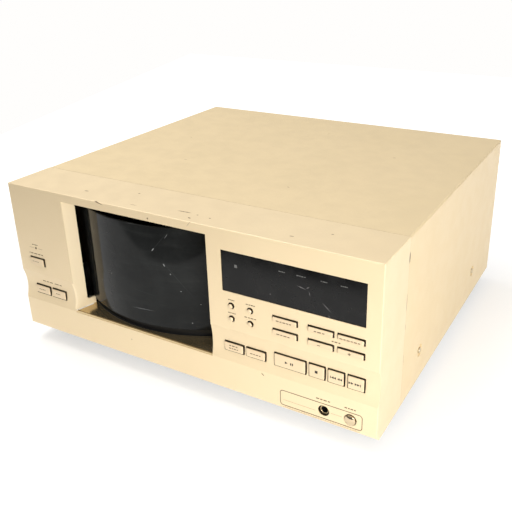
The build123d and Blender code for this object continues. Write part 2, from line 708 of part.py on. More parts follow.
def round_button(x, z):
    back = wall_back(z) + BUTTON_SEAT_GAP
    cap = rod_y(x, FACE_Z + z, ROUND_HOLE_R - BUTTON_GAP, -BUTTON_PROUD, back)
    cap = chamfer(cap.faces().sort_by(Axis.Y)[0].edges(), BUTTON_BEVEL)
    collar = rod_y(x, FACE_Z + z, ROUND_HOLE_R + BUTTON_FLANGE, back, back + BUTTON_FLANGE_T)
    return cap + collar + rod_y(x, FACE_Z + z, STEM_R, back, stem_end())


def touch_switch(x, z):
    half = SWITCH_W / 2
    body = block(x - half, x + half, BOARD_Y - SWITCH_T, BOARD_Y, FACE_Z + z - half, FACE_Z + z + half)
    return body + rod_y(x, FACE_Z + z, PLUNGER_R, BOARD_Y - SWITCH_T - PLUNGER_L, BOARD_Y - SWITCH_T)


def front_board():
    """The three boards behind the face with the buttons' touch switches on them."""
    places = [((x0 + x1) / 2, (z0 + z1) / 2) for _, x0, x1, z0, z1 in FACE_BUTTONS + BAND_BUTTONS]
    places += [(x, z) for _, x, z in ROUND_BUTTONS]
    solids = []
    for x0, x1, z0, z1 in (KEY_BOARD, MAIN_KEY_BOARD, PHONES_BOARD):
        board = block(x0, x1, BOARD_Y, BOARD_Y + BOARD_T, FACE_Z + z0, FACE_Z + z1)
        for x, z in places:
            if x0 < x < x1 and z0 < z < z1:
                board += touch_switch(x, z)
        solids.append(board)
    return Compound(solids)


def display_tube():
    """Flat glass tube on two rows of pins."""
    x = (DISPLAY_X0 + DISPLAY_X1) / 2
    z = FACE_Z + (DISPLAY_Z0 + DISPLAY_Z1) / 2
    y1 = BOARD_Y - TUBE_PIN_L
    glass = block(x - TUBE_W / 2, x + TUBE_W / 2, y1 - TUBE_T, y1, z - TUBE_H / 2, z + TUBE_H / 2)
    for side in (-1, 1):
        zp = z + side * (TUBE_H / 2 - 2 * TUBE_PIN_T)
        glass += block(x - TUBE_W / 2 + TUBE_T, x + TUBE_W / 2 - TUBE_T, y1, BOARD_Y,
                       zp - TUBE_PIN_T / 2, zp + TUBE_PIN_T / 2)
    return glass


def headphone_jack():
    """A socket whose nose stands in the panel's hole, a little behind the face."""
    x = PHONES_X
    z = FACE_Z + PHONES_Z
    half = PHONES_BODY_W / 2
    back = PANEL_WALL + BUTTON_SEAT_GAP
    body = block(x - half, x + half, back, BOARD_Y, z - half, z + half)
    nose = rod_y(x, z, PHONES_NOSE_R, PHONES_INSET, back + 0.5)
    return body + nose - rod_y(x, z, PHONES_BORE_R, PHONES_INSET - 1, PHONES_BODY_D)


def level_control():
    """Rotary control on the socket's board, with a bush for the knob's shaft."""
    x = KNOB_X
    z = FACE_Z + KNOB_Z
    shaft_end = KNOB_BACK + KNOB_SHAFT_L
    half = LEVEL_BODY_W / 2
    body = block(x - half, x + half, LEVEL_BODY_Y, BOARD_Y, z - half, z + half)
    bush = rod_y(x, z, BUSH_R, KNOB_BACK + KNOB_BUSH_GAP, LEVEL_BODY_Y + 1)
    return body + bush - rod_y(x, z, KNOB_SHAFT_R + RUNNING, KNOB_BACK, shaft_end + SHAFT_END_GAP)


def level_knob():
    """A short knob with a crowned front, almost sunk in the face."""
    x = KNOB_X
    z = FACE_Z + KNOB_Z
    front = -KNOB_PROUD - KNOB_DOME
    crown_r = (KNOB_R ** 2 + KNOB_DOME ** 2) / (2 * KNOB_DOME)
    grip = rod_y(x, z, KNOB_R, front, KNOB_BACK) & Pos(x, front + crown_r, z) * Sphere(crown_r)
    grip = fillet(grip.faces().sort_by(Axis.Y)[0].edges(), KNOB_EDGE)
    return grip + rod_y(x, z, KNOB_SHAFT_R, KNOB_BACK, KNOB_BACK + KNOB_SHAFT_L)


# ================================================================ sheet metal
def dimple_places():
    """Side screws: height and the two sides' places along Y."""
    return [(side, y, FACE_Z + SIDE_SCREW_Z) for side in (-1, 1) for y in SIDE_SCREW_Y]


def top_cover():
    outer = block(-HALF_W, HALF_W, COVER_Y0, CASE_D, FOOT_H, CASE_TOP)
    long_edges = outer.edges().filter_by(Axis.Y).group_by(Axis.Z)[-1]
    outer = fillet(long_edges, COVER_BEND_R)
    inner = block(-COVER_IN_X, COVER_IN_X, COVER_Y0 - 1, CASE_D - COVER_T, FOOT_H - 1, CASE_TOP - COVER_T)
    inner = fillet(inner.edges().filter_by(Axis.Y).group_by(Axis.Z)[-1], COVER_BEND_R - COVER_T)
    back = block(-HALF_W + COVER_FLANGE, HALF_W - COVER_FLANGE, CASE_D - COVER_T - 1, CASE_D + 1,
                 FOOT_H - 1, CASE_TOP - COVER_FLANGE)
    cover = outer - inner - back
    for side, y, z in dimple_places():
        cup = rod_x(y, z, DIMPLE_R + COVER_T, *sorted((side * HALF_W, side * (COVER_IN_X - DIMPLE_D))))
        dish = rod_x(y, z, DIMPLE_R, *sorted((side * (HALF_W + 1), side * (HALF_W - DIMPLE_D))))
        hole = rod_x(y, z, SCREW_R + SHEET_GAP, *sorted((side * HALF_W, side * (HALF_W - 9))))
        cover = cover + cup - dish - hole
    for x, z in REAR_SCREWS:
        cover -= rod_y(x, z, SCREW_R + SHEET_GAP, CASE_D - 3, CASE_D + 1)
    return cover


def chassis_half_width():
    """The bottom sheet's side flanges lie against the cover's dimples."""
    return COVER_IN_X - DIMPLE_D - SHEET_GAP / 2


def bottom_chassis():
    half = chassis_half_width()
    front = CHIN_RUN + PANEL_WALL + SHEET_GAP
    inside = HALF_W - PANEL_WALL - SHEET_GAP
    plate = block(-inside, inside, front, COVER_Y0 + 2, FOOT_H, FLOOR_Z)
    plate += block(-half, half, COVER_Y0 + 1, REAR_Y1, FOOT_H, FLOOR_Z)
    for side in (-1, 1):
        x0, x1 = sorted((side * half, side * (half - CHASSIS_T)))
        plate += block(x0, x1, COVER_Y0 + 1, REAR_Y0 - SHEET_GAP, FOOT_H, FOOT_H + CHASSIS_SIDE_H)
    holes = []
    for side, y, z in dimple_places():
        holes.append(rod_x(y, z, SCREW_R, *sorted((side * HALF_W, side * (half - 5)))))
    for i in range(VENT_COUNT):
        y = FLOOR_VENT_Y + i * VENT_PITCH
        for x in FLOOR_VENT_X:
            holes.append(block(x - VENT_L / 2, x + VENT_L / 2, y, y + VENT_W, 0, FLOOR_Z + 1))
    for x in (-FOOT_X, FOOT_X):
        for y in (FOOT_Y0, FOOT_Y1):
            holes.append(rod_z(x, y, SCREW_R, 0, FLOOR_Z + 1))
    return plate - holes


def rear_panel():
    half = chassis_half_width()
    sheet = block(-half, half, REAR_Y0, REAR_Y1, FLOOR_Z, CASE_TOP - COVER_T - SHEET_GAP)
    holes = []
    for x, z in REAR_SCREWS:
        holes.append(rod_y(x, z, SCREW_R, REAR_Y0 - 1, REAR_Y1 + 1))
    for dx in (-JACK_PITCH / 2, JACK_PITCH / 2):
        holes.append(rod_y(JACK_X + dx, JACK_Z, JACK_R + PANEL_HOLE_GAP, REAR_Y0 - 1, REAR_Y1 + 1))
    half = OPTICAL_W / 2 + SHEET_GAP
    holes.append(block(OPTICAL_X - half, OPTICAL_X + half, REAR_Y0 - 1, REAR_Y1 + 1,
                       JACK_Z - half, JACK_Z + half))
    holes.append(block(INLET_X - INLET_W / 2 - SHEET_GAP, INLET_X + INLET_W / 2 + SHEET_GAP, REAR_Y0 - 1,
                       REAR_Y1 + 1, INLET_Z - INLET_H / 2 - SHEET_GAP, INLET_Z + INLET_H / 2 + SHEET_GAP))
    for i in range(VENT_COUNT):
        x = REAR_VENT_X - i * VENT_PITCH
        holes.append(block(x, x + VENT_W, REAR_Y0 - 1, REAR_Y1 + 1, REAR_VENT_Z, REAR_VENT_Z + VENT_L / 2))
    return sheet - holes


def feet():
    """Four turned feet, hollow below, each with a place for a pad."""
    solids = []
    for x in (-FOOT_X, FOOT_X):
        for y in (FOOT_Y0, FOOT_Y1):
            foot = Pos(x, y, (FOOT_PAD_T + FOOT_H) / 2) * Cone(FOOT_R, FOOT_TOP_R, FOOT_H - FOOT_PAD_T)
            foot = fillet(foot.edges().group_by(Axis.Z)[0], 1.0)
            foot -= rod_z(x, y, FOOT_PAD_R / 2, 0, FOOT_H - FOOT_WEB)
            foot -= rod_z(x, y, SCREW_R + SHEET_GAP, 0, FOOT_H + 1)
            solids.append(foot)
    return Compound(solids)


def foot_pads():
    solids = []
    for x in (-FOOT_X, FOOT_X):
        for y in (FOOT_Y0, FOOT_Y1):
            solids.append(rod_z(x, y, FOOT_PAD_R, 0, FOOT_PAD_T) - rod_z(x, y, FOOT_PAD_R / 2, -1, FOOT_H))
    return Compound(solids)


def screw(length):
    """A pan-head screw along Z, its head's seat at Z = 0 and its shank below."""
    head = Pos(0, 0, SCREW_HEAD_H / 2) * Cylinder(SCREW_HEAD_R, SCREW_HEAD_H)
    head = fillet(head.edges().group_by(Axis.Z)[-1], SCREW_HEAD_H / 3)
    shank = Pos(0, 0, -length / 2) * Cylinder(SCREW_R - RUNNING, length)
    cross = [Pos(0, 0, SCREW_HEAD_H) * Rot(0, 0, a) * Box(SCREW_CROSS_L, SCREW_CROSS_W, SCREW_HEAD_H)
             for a in (0, 90)]
    return head + shank - cross


def case_screws():
    solids = []
    for side, y, z in dimple_places():
        solids.append(Pos(side * (HALF_W - DIMPLE_D), y, z) * Rot(0, side * 90, 0) * screw(SCREW_L))
    for x, z in REAR_SCREWS:
        solids.append(Pos(x, CASE_D, z) * Rot(-90, 0, 0) * screw(SCREW_L))
    for x in (-FOOT_X, FOOT_X):
        for y in (FOOT_Y0, FOOT_Y1):
            solids.append(Pos(x, y, FOOT_H - FOOT_WEB) * Rot(180, 0, 0) * screw(FOOT_WEB + CHASSIS_T))
    return Compound(solids)


# ================================================================ boards, mains and sockets
def loaded_board(board, boxes, cans):
    """A board on four posts, with what stands on it."""
    x0, x1, y0, y1 = board
    z = FLOOR_Z + STANDOFF_H
    plate = block(x0, x1, y0, y1, z, z + BOARD_T)
    for x in (x0 + BOSS_INSET, x1 - BOSS_INSET):
        for y in (y0 + BOSS_INSET, y1 - BOSS_INSET):
            plate += rod_z(x, y, STANDOFF_R, FLOOR_Z, z)
    for dx0, dx1, dy0, dy1, height in boxes:
        plate += block(x0 + dx0, x0 + dx1, y0 + dy0, y0 + dy1, z + BOARD_T, z + BOARD_T + height)
    for dx, dy, r, height in cans:
        plate += rod_z(x0 + dx, y0 + dy, r, z + BOARD_T, z + BOARD_T + height)
    return plate


def control_board():
    return loaded_board(CONTROL_BOARD, CONTROL_PARTS, CONTROL_CANS)


def audio_board():
    return loaded_board(AUDIO_BOARD, AUDIO_PARTS, AUDIO_CANS)


def power_transformer():
    """Laminated core with its winding, on two lugs for its screws."""
    x0, x1, y0, y1 = TRANSFORMER
    core = block(x0, x1, y0 + CORE_INSET, y1 - CORE_INSET, FLOOR_Z, FLOOR_Z + TRANSFORMER_H)
    winding = block(x0 + WINDING_INSET, x1 - WINDING_INSET, y0, y1, FLOOR_Z + WINDING_INSET,
                    FLOOR_Z + TRANSFORMER_H - WINDING_INSET)
    winding = fillet(winding.edges().filter_by(Axis.Z), WINDING_R)
    lugs = block(x0 - LUG_L, x1 + LUG_L, y0 + 2 * LUG_L, y1 - 2 * LUG_L, FLOOR_Z, FLOOR_Z + LUG_T)
    body = core + winding + lugs
    for x in (x0 - LUG_L / 2, x1 + LUG_L / 2):
        body -= rod_z(x, (y0 + y1) / 2, LUG_HOLE_R, 0, FLOOR_Z + LUG_T + 1)
    return body


def output_jacks():
    """Pair of phono sockets in a block, and the square optical socket beside them."""
    half_w = JACK_PITCH + 2
    y0 = REAR_Y0 - JACK_BLOCK_D
    board_top = FLOOR_Z + STANDOFF_H + BOARD_T
    body = block(JACK_X - half_w, JACK_X + half_w, y0, REAR_Y0, board_top, JACK_Z + JACK_BLOCK_TOP)
    bores = []
    for dx in (-JACK_PITCH / 2, JACK_PITCH / 2):
        body += rod_y(JACK_X + dx, JACK_Z, JACK_R, REAR_Y0 - 1, DEPTH_BACK)
        bores.append(rod_y(JACK_X + dx, JACK_Z, JACK_BORE_R, DEPTH_BACK - JACK_BORE_D, DEPTH_BACK + 1))
    half = OPTICAL_W / 2
    front = REAR_Y1 + OPTICAL_PROUD
    optical = block(OPTICAL_X - half, OPTICAL_X + half, y0, REAR_Y0, board_top, JACK_Z + half)
    optical += block(OPTICAL_X - half, OPTICAL_X + half, y0, front, JACK_Z - half, JACK_Z + half)
    half = OPTICAL_MOUTH / 2
    optical -= block(OPTICAL_X - half, OPTICAL_X + half, front - OPTICAL_MOUTH_D, front + 1,
                     JACK_Z - half, JACK_Z + half)
    return Compound([body - bores, optical])


def ac_inlet():
    """Two-pin mains socket."""
    w = INLET_W / 2
    h = INLET_H / 2
    y0 = REAR_Y1 - INLET_D
    front = REAR_Y1 + INLET_FLANGE
    body = block(INLET_X - w, INLET_X + w, y0, front, INLET_Z - h, INLET_Z + h)
    body += block(INLET_X - w - INLET_RIM, INLET_X + w + INLET_RIM, REAR_Y1, front,
                  INLET_Z - h - INLET_RIM, INLET_Z + h + INLET_RIM)
    mouth = Pos(INLET_X, front, INLET_Z) * Rot(90, 0, 0) * SlotOverall(INLET_MOUTH_W, INLET_MOUTH_H)
    body -= extrude(mouth, INLET_MOUTH_D)
    for dx in (-INLET_PIN_X, INLET_PIN_X):
        body += rod_y(INLET_X + dx, INLET_Z, INLET_PIN_R, y0 + 1, REAR_Y1)
    return body


# ================================================================ rack, door and their drives
def rack_pitch_r():
    return RACK_MODULE * RACK_TEETH / 2


def door_pitch_r():
    return DOOR_MODULE * DOOR_TEETH / 2


def carrier_outer():
    """Outside of the door's rim above its teeth, just inside the recess's floor plate."""
    return SHELF_R - CARRIER_GAP


def track_outer():
    return door_pitch_r() - DOOR_MODULE * TOOTH_ROOT


def rack_pinion_place():
    return around_rack(rack_pitch_r() + RACK_MODULE * RACK_PINION_TEETH / 2, RACK_PINION_DEG)


def door_pinion_place():
    return around_rack(door_pitch_r() + DOOR_MODULE * DOOR_PINION_TEETH / 2, DOOR_PINION_DEG)


def comb(r0, r1, slot_w, z0, z1):
    """Straight-sided teeth between radial slots of even width."""
    teeth = []
    for i in range(SLOTS):
        a0 = 2 * pi * i / SLOTS
        a1 = 2 * pi * (i + 1) / SLOTS
        corners = [polar(r0, a0), polar(r1, a0), polar(r1, a1), polar(r0, a1)]
        shift0 = (-sin(a0) * slot_w / 2, cos(a0) * slot_w / 2)
        shift1 = (sin(a1) * slot_w / 2, -cos(a1) * slot_w / 2)
        shifts = [shift0, shift0, shift1, shift1]
        points = [(c[0] + s[0], c[1] + s[1]) for c, s in zip(corners, shifts)]
        teeth.append(Pos(0, 0, z0) * extrude(make_face(Polyline(points, close=True)), z1 - z0))
    return teeth


def disc_rack():
    """Slotted carousel: floor with two combs, hub, skirt and a ring gear round its foot."""
    floor_top = DISC_Z - DISC_R
    floor_z = floor_top - RACK_FLOOR_T
    gear_root = rack_pitch_r() - RACK_MODULE * TOOTH_ROOT
    floor = rod_z(0, 0, RACK_R, floor_z, floor_top)
    skirt = rod_z(0, 0, gear_root + 0.5, RACK_GEAR_Z + RACK_GEAR_T / 2, floor_z + 0.5)
    toward_pinion = radians(-90 - RACK_PINION_DEG)
    ring = Pos(0, 0, RACK_GEAR_Z) * extrude(gear_face(RACK_MODULE, RACK_TEETH, toward_pinion, 1),
                                            RACK_GEAR_T)
    hollow = rod_z(0, 0, gear_root - SKIRT_T, 0, floor_z)
    hub = Pos(0, 0, floor_top + HUB_H / 2) * Cone(HUB_R, HUB_TOP_R, HUB_H)
    boss = rod_z(0, 0, HUB_BOSS_R, RACK_GEAR_Z, floor_top)
    body = floor + skirt + ring - hollow + hub + boss
    body -= rod_z(0, 0, SPINDLE_R + RUNNING, 0, CASE_TOP)
    body = body + comb(RACK_R - OUTER_COMB_W, RACK_R - COMB_INSET, SLOT_W, floor_top,
                       floor_top + OUTER_COMB_H)
    body = body + comb(INNER_COMB_R, INNER_COMB_R + INNER_COMB_W, INNER_SLOT_W, floor_top,
                       floor_top + INNER_COMB_H)
    return at_rack(body)


def rack_spindle():
    """Steel post fixed in the base, with a cap over the hub."""
    top = DISC_Z - DISC_R + HUB_H
    post = rod_z(0, 0, SPINDLE_R, FLOOR_Z, top + SPINDLE_CAP_T)
    cap = rod_z(0, 0, SPINDLE_CAP_R, top + HUB_SEAT, top + HUB_SEAT + SPINDLE_CAP_T)
    return at_rack(post + cap)


def rack_base():
    """Moulded base: a spoked floor, the spindle's boss and the curved track of the door."""
    r_out = track_outer() - TRACK_INSET
    r_in = r_out - TRACK_T
    z_top = FLOOR_Z + BASE_T
    ring = rod_z(0, 0, r_out, FLOOR_Z, z_top) - rod_z(0, 0, r_out - BASE_RING_W, 0, CASE_TOP)
    boss = rod_z(0, 0, BASE_BOSS_R, FLOOR_Z, RACK_GEAR_Z - HUB_SEAT)
    spoke = block(BASE_BOSS_R / 2, r_out - BASE_RING_W / 2, -BASE_SPOKE_W / 2, BASE_SPOKE_W / 2,
                  FLOOR_Z, z_top)
    spokes = [Rot(0, 0, 360 * i / BASE_SPOKES) * spoke for i in range(BASE_SPOKES)]
    body = at_rack(ring + [boss] + spokes - rod_z(0, 0, SPINDLE_R, 0, CASE_TOP))
    sweep_right = -(DOOR_RIGHT + TRACK_SPARE)
    sweep_left = DOOR_LEFT + CARRIER_EXTRA + DOOR_OPEN + TRACK_SPARE
    return body + arc_wall(r_in, r_out, sweep_right, sweep_left, FLOOR_Z, DOOR_GEAR_Z - TRACK_GAP)


def smoked_door():
    door = arc_wall(DOOR_R - DOOR_T, DOOR_R, -DOOR_RIGHT, DOOR_LEFT, FACE_Z + DOOR_Z0, FACE_Z + DOOR_Z1)
    outside = door.faces().sort_by(lambda f: -f.area)[0]
    return chamfer(outside.edges(), DOOR_EDGE)


def door_carrier():
    """The door's moulded rim: a toothed foot on the track, and a wall that the door is fixed to."""
    right = -DOOR_RIGHT
    left = DOOR_LEFT + CARRIER_EXTRA
    door_in = DOOR_R - DOOR_T
    wall_out = carrier_outer()
    wall_in = wall_out - CARRIER_T
    gear_top = DOOR_GEAR_Z + DOOR_GEAR_T
    root = track_outer()
    tip = door_pitch_r() + DOOR_MODULE * TOOTH_TOP
    door_foot = FACE_Z + DOOR_Z0
    body = arc_wall(wall_in, root, right, left, DOOR_GEAR_Z, gear_top)
    body += arc_wall(wall_in, wall_out, right, left, DOOR_GEAR_Z, door_foot + CARRIER_LAP)
    body += arc_wall(wall_in, door_in, right, left, door_foot + CARRIER_LAP - CARRIER_WEB,
                     door_foot + CARRIER_LAP)
    teeth = []
    pitch = 360 / DOOR_TEETH
    first = int((DOOR_PINION_DEG - left) / pitch) + 1
    last = int((DOOR_PINION_DEG - right) / pitch)
    for i in range(first, last):
        centre = radians(-90 - (DOOR_PINION_DEG - i * pitch))
        points = tooth_points(DOOR_MODULE, DOOR_TEETH, centre, [root - 0.4, tip])
        tooth = Pos(0, 0, DOOR_GEAR_Z) * extrude(make_face(Polyline(points, close=True)), DOOR_GEAR_T)
        teeth.append(at_rack(tooth))
    return body + teeth


def pinion_and_shaft(module, teeth, place, toward_deg, z0, thickness, shaft_z):
    """A small gear with a gap facing toward_deg, and its shaft up or down to shaft_z."""
    first = radians(toward_deg) + pi / teeth
    gear = Pos(0, 0, z0) * extrude(gear_face(module, teeth, first, 2), thickness)
    shaft = rod_z(0, 0, MOTOR_SHAFT_R, *sorted((z0 + thickness / 2, shaft_z)))
    return Pos(place[0], place[1], 0) * (gear + shaft)


def rack_pinion():
    top = BRACKET_Z + BRACKET_T + MOTOR_SHAFT_L
    return pinion_and_shaft(RACK_MODULE, RACK_PINION_TEETH, rack_pinion_place(),
                            90 - RACK_PINION_DEG, RACK_GEAR_Z, RACK_GEAR_T, top)


def door_pinion():
    low = DOOR_GEAR_Z - PINION_GAP - MOTOR_SHAFT_L
    return pinion_and_shaft(DOOR_MODULE, DOOR_PINION_TEETH, door_pinion_place(),
                            90 - DOOR_PINION_DEG, DOOR_GEAR_Z, DOOR_GEAR_T, low)


def rack_motor():
    x, y = rack_pinion_place()
    z0 = BRACKET_Z + BRACKET_T
    body = rod_z(x, y, MOTOR_R, z0, z0 + RACK_MOTOR_H)
    body = fillet(body.edges().group_by(Axis.Z)[-1], MOTOR_EDGE_R)
    return body - rod_z(x, y, MOTOR_SHAFT_R + RUNNING, z0 - 1, z0 + MOTOR_SHAFT_L + SHAFT_END_GAP)


def door_motor():
    x, y = door_pinion_place()
    z1 = DOOR_GEAR_Z - PINION_GAP
    body = rod_z(x, y, MOTOR_R, FLOOR_Z, z1)
    return body - rod_z(x, y, MOTOR_SHAFT_R + RUNNING, z1 - MOTOR_SHAFT_L - SHAFT_END_GAP, z1 + 1)


def motor_bracket():
    """Bridge over the rack's pinion, carrying its motor."""
    x, y = rack_pinion_place()
    reach = RACK_MODULE * (RACK_PINION_TEETH / 2 + TOOTH_TOP) + BRACKET_CLEAR
    x0 = x - BRACKET_W / 2
    x1 = x + BRACKET_W / 2
    bridge = block(x0, x1, y - reach - BRACKET_T, y + reach + BRACKET_T, BRACKET_Z, BRACKET_Z + BRACKET_T)
    for side in (-1, 1):
        y_leg = sorted((y + side * reach, y + side * (reach + BRACKET_T)))
        y_foot = sorted((y + side * reach, y + side * (reach + BRACKET_FOOT)))
        bridge += block(x0, x1, y_leg[0], y_leg[1], FLOOR_Z, BRACKET_Z + BRACKET_T)
        bridge += block(x0, x1, y_foot[0], y_foot[1], FLOOR_Z, FLOOR_Z + BRACKET_T)
    return bridge - rod_z(x, y, SHAFT_HOLE_R, BRACKET_Z - 1, BRACKET_Z + BRACKET_T + 1)


# ================================================================ disc transport
def rod_heights():
    return (DISC_Z - ROD_SPREAD / 2, DISC_Z + ROD_SPREAD / 2)


def rod_span():
    """Both ends of the guide rods: the sled's travel with a tab at each end."""
    start = PLAY_U + SLED_START - SLED_W / 2 - ROD_END_GAP - ROD_TAB_T
    end = PLAY_U + SLED_START + SLED_TRAVEL + SLED_W / 2 + ROD_END_GAP + ROD_TAB_T
    return start, end


def sled_gear_z():
    """Centre of the sled's gear: its pitch circle touches the pitch line of the sled's rack."""
    return sled_rack_z() - SLED_MODULE * SLED_GEAR_TEETH / 2


def sled_rack_z():
    return DISC_Z - SLED_H / 2 - SLED_RACK_BODY - SLED_MODULE * TOOTH_ROOT


def feed_z():
    """The feed roller's centre: its groove carries the disc's lower edge."""
    return DISC_Z - DISC_R - FEED_R + FEED_GROOVE


def transport_frame():
    """Upright plate with a foot, a top flange with two ears, and tabs for the rods."""
    v0 = FRAME_V
    v1 = FRAME_V + FRAME_T
    plate = block(FRAME_U0, FRAME_U1, v0, v1, FRAME_Z0, FRAME_Z1)
    foot = block(FRAME_U0, FRAME_U1, FRAME_FOOT_V0, FRAME_FOOT_V1, FRAME_Z0, FRAME_Z0 + FRAME_T)
    top = block(FRAME_TOP_U0, FRAME_TOP_U1, v0, FRAME_TOP_V1, FRAME_Z1 - FRAME_T, FRAME_Z1)
    body = plate + foot + top
    start, end = rod_span()
    for u in (start, end - ROD_TAB_T):
        for z in rod_heights():
            body += block(u, u + ROD_TAB_T, v1 - 0.5, ROD_V + ROD_TAB_W / 2,
                          z - ROD_TAB_W / 2, z + ROD_TAB_W / 2)
    for u in clamp_ears():
        body += block(u, u + FRAME_T, CLAMP_V - EAR_R, CLAMP_V + EAR_R, CLAMP_PIVOT_Z - EAR_R, FRAME_Z1)
    cuts = [rod_y(PLAY_U + u, DISC_Z + z, r, v0 - 1, v1 + 1) for u, z, r in FRAME_HOLES]
    cuts.append(rod_y(PLAY_U, DISC_Z, TABLE_HOLE_R, v0 - 1, v1 + 1))
    cuts.append(rod_y(PLAY_U + SLED_GEAR_DU, sled_gear_z(), SHAFT_HOLE_R, v0 - 1, v1 + 1))
    cuts.append(rod_y(FEED_U, feed_z(), SHAFT_HOLE_R, v0 - 1, v1 + 1))
    for z in rod_heights():
        cuts.append(rod_x(ROD_V, z, ROD_R + RUNNING, start - 1, end + 1))
    cuts.append(rod_x(CLAMP_V, CLAMP_PIVOT_Z, CLAMP_PIN_R + RUNNING, FRAME_TOP_U0, FRAME_TOP_U1))
    return in_transport(body - cuts)


def clamp_ears():
    """Left faces of the two ears either side of the clamp arm."""
    return (PLAY_U - CLAMP_W / 2 - EAR_GAP - FRAME_T, PLAY_U + CLAMP_W / 2 + EAR_GAP)


def transport_dampers():
    solids = []
    for u in (FRAME_U0 + DAMPER_INSET, FRAME_U1 - DAMPER_INSET):
        for v in (FRAME_FOOT_V0 + DAMPER_INSET, FRAME_FOOT_V1 - DAMPER_INSET):
            solids.append(in_transport(rod_z(u, v, DAMPER_R, FLOOR_Z, FRAME_Z0)))
    return Compound(solids)


def guide_rods():
    start, end = rod_span()
    return Compound([in_transport(rod_x(ROD_V, z, ROD_R, start, end)) for z in rod_heights()])


def disc_guide():
    """Cradle under the disc in its playing place, grooved along the disc's edge."""
    top = DISC_Z - DISC_R + GUIDE_H / 2
    body = block(PLAY_U - GUIDE_L / 2, PLAY_U + GUIDE_L / 2, FRAME_V + FRAME_T, GUIDE_V1,
                 top - GUIDE_H, top)
    groove = rod_y(PLAY_U, DISC_Z, DISC_R + GUIDE_GAP, -DISC_T, DISC_T)
    trough = rod_y(PLAY_U, DISC_Z, DISC_R - GUIDE_LIP, FRAME_V + FRAME_T - 1, GUIDE_V1 + 1)
    return in_transport(body - groove - trough)


def transport_motors():
    """Disc motor, sled motor and feed motor, all behind the upright plate."""
    specs = [
        (PLAY_U, DISC_Z, TABLE_MOTOR_R, TABLE_MOTOR_L),
        (PLAY_U + SLED_GEAR_DU, sled_gear_z(), FEED_MOTOR_R, FEED_MOTOR_L),
        (FEED_U, feed_z(), FEED_MOTOR_R, FEED_MOTOR_L),
    ]
    solids = []
    for u, z, r, length in specs:
        body = rod_y(u, z, r, FRAME_V - length, FRAME_V)
        body = fillet(body.edges().group_by(Axis.Y)[0], MOTOR_EDGE_R)
        body -= rod_y(u, z, MOTOR_SHAFT_R + RUNNING, FRAME_V - MOTOR_SHAFT_L - SHAFT_END_GAP, FRAME_V + 1)
        solids.append(in_transport(body))
    return Compound(solids)


def turntable():
    back = -DISC_T / 2 - TABLE_GAP
    plate = rod_y(PLAY_U, DISC_Z, TABLE_R, back - TABLE_T, back)
    hub = rod_y(PLAY_U, DISC_Z, TABLE_HUB_R, back, back + TABLE_HUB_H)
    hub = chamfer(hub.faces().sort_by(Axis.Y)[-1].edges(), TABLE_HUB_EDGE)
    shaft = rod_y(PLAY_U, DISC_Z, MOTOR_SHAFT_R, FRAME_V - MOTOR_SHAFT_L, back)
    return in_transport(plate + hub + shaft)


def pickup_sled():
    """Sled with bored ears for the rods, the lens and a toothed rack below."""
    u = PLAY_U + SLED_START
    half = SLED_W / 2
    body = block(u - half, u + half, SLED_V0, SLED_V1, DISC_Z - SLED_H / 2, DISC_Z + SLED_H / 2)
    body -= block(u - half - 1, u + half + 1, SLED_NOTCH_V, SLED_V1 + 1,
                  DISC_Z - SLED_H / 2 - 1, DISC_Z - SLED_H / 2 + SLED_NOTCH_H)
    body += rod_y(u, DISC_Z, LENS_R, SLED_V1 - 1, SLED_V1 + LENS_H)
    for z in rod_heights():
        body -= rod_x(ROD_V, z, ROD_R + RUNNING, u - half - 1, u + half + 1)
    pitch_line = sled_rack_z()
    root_z = pitch_line + SLED_MODULE * TOOTH_ROOT
    tip_z = pitch_line - SLED_MODULE * TOOTH_TOP
    step = pi * SLED_MODULE
    gear_u = PLAY_U + SLED_GEAR_DU
    rack_u1 = gear_u + 1.5 * step
    rack_u0 = rack_u1 - SLED_RACK_TEETH * step
    v1 = SLED_V0 + SLED_GEAR_T
    body += block(rack_u0, rack_u1, SLED_V0, v1, root_z, root_z + SLED_RACK_BODY + 0.5)
    half_pitch = step / 4 - BACKLASH / 4
    root_half = half_pitch + SLED_MODULE * TOOTH_ROOT * tan(PRESSURE)
    tip_half = half_pitch - SLED_MODULE * TOOTH_TOP * tan(PRESSURE)
    for i in range(SLED_RACK_TEETH):
        c = rack_u1 - (i + 0.5) * step
        points = [(c - root_half, root_z + 0.2), (c + root_half, root_z + 0.2),
                  (c + root_half, root_z), (c + tip_half, tip_z), (c - tip_half, tip_z),
                  (c - root_half, root_z)]
        tooth = extrude(make_face(Polyline(points, close=True)), SLED_GEAR_T)
        body += Pos(0, v1, 0) * Rot(90, 0, 0) * tooth
    return in_transport(body)


def sled_gear():
    """Gear under the sled's rack, a gap facing up to a tooth of the rack."""
    gear = extrude(gear_face(SLED_MODULE, SLED_GEAR_TEETH, radians(90) + pi / SLED_GEAR_TEETH, 2),
                   SLED_GEAR_T)
    u = PLAY_U + SLED_GEAR_DU
    gear = Pos(u, SLED_V0 + SLED_GEAR_T, sled_gear_z()) * Rot(90, 0, 0) * gear
    shaft = rod_y(u, sled_gear_z(), MOTOR_SHAFT_R, FRAME_V - MOTOR_SHAFT_L, SLED_V0 + 1)
    return in_transport(gear + shaft)


def feed_roller():
    """Grooved roller at the rack's mouth that rolls a disc out and back."""
    z = feed_z()
    roller = rod_y(FEED_U, z, FEED_R, -FEED_W / 2, FEED_W / 2)
    groove = rod_y(FEED_U, z, FEED_R + 1, -DISC_T, DISC_T) - rod_y(FEED_U, z, FEED_R - FEED_GROOVE,
                                                                   -DISC_T, DISC_T)
    shaft = rod_y(FEED_U, z, MOTOR_SHAFT_R, FRAME_V - MOTOR_SHAFT_L, 0)
    return in_transport(roller - groove + shaft)


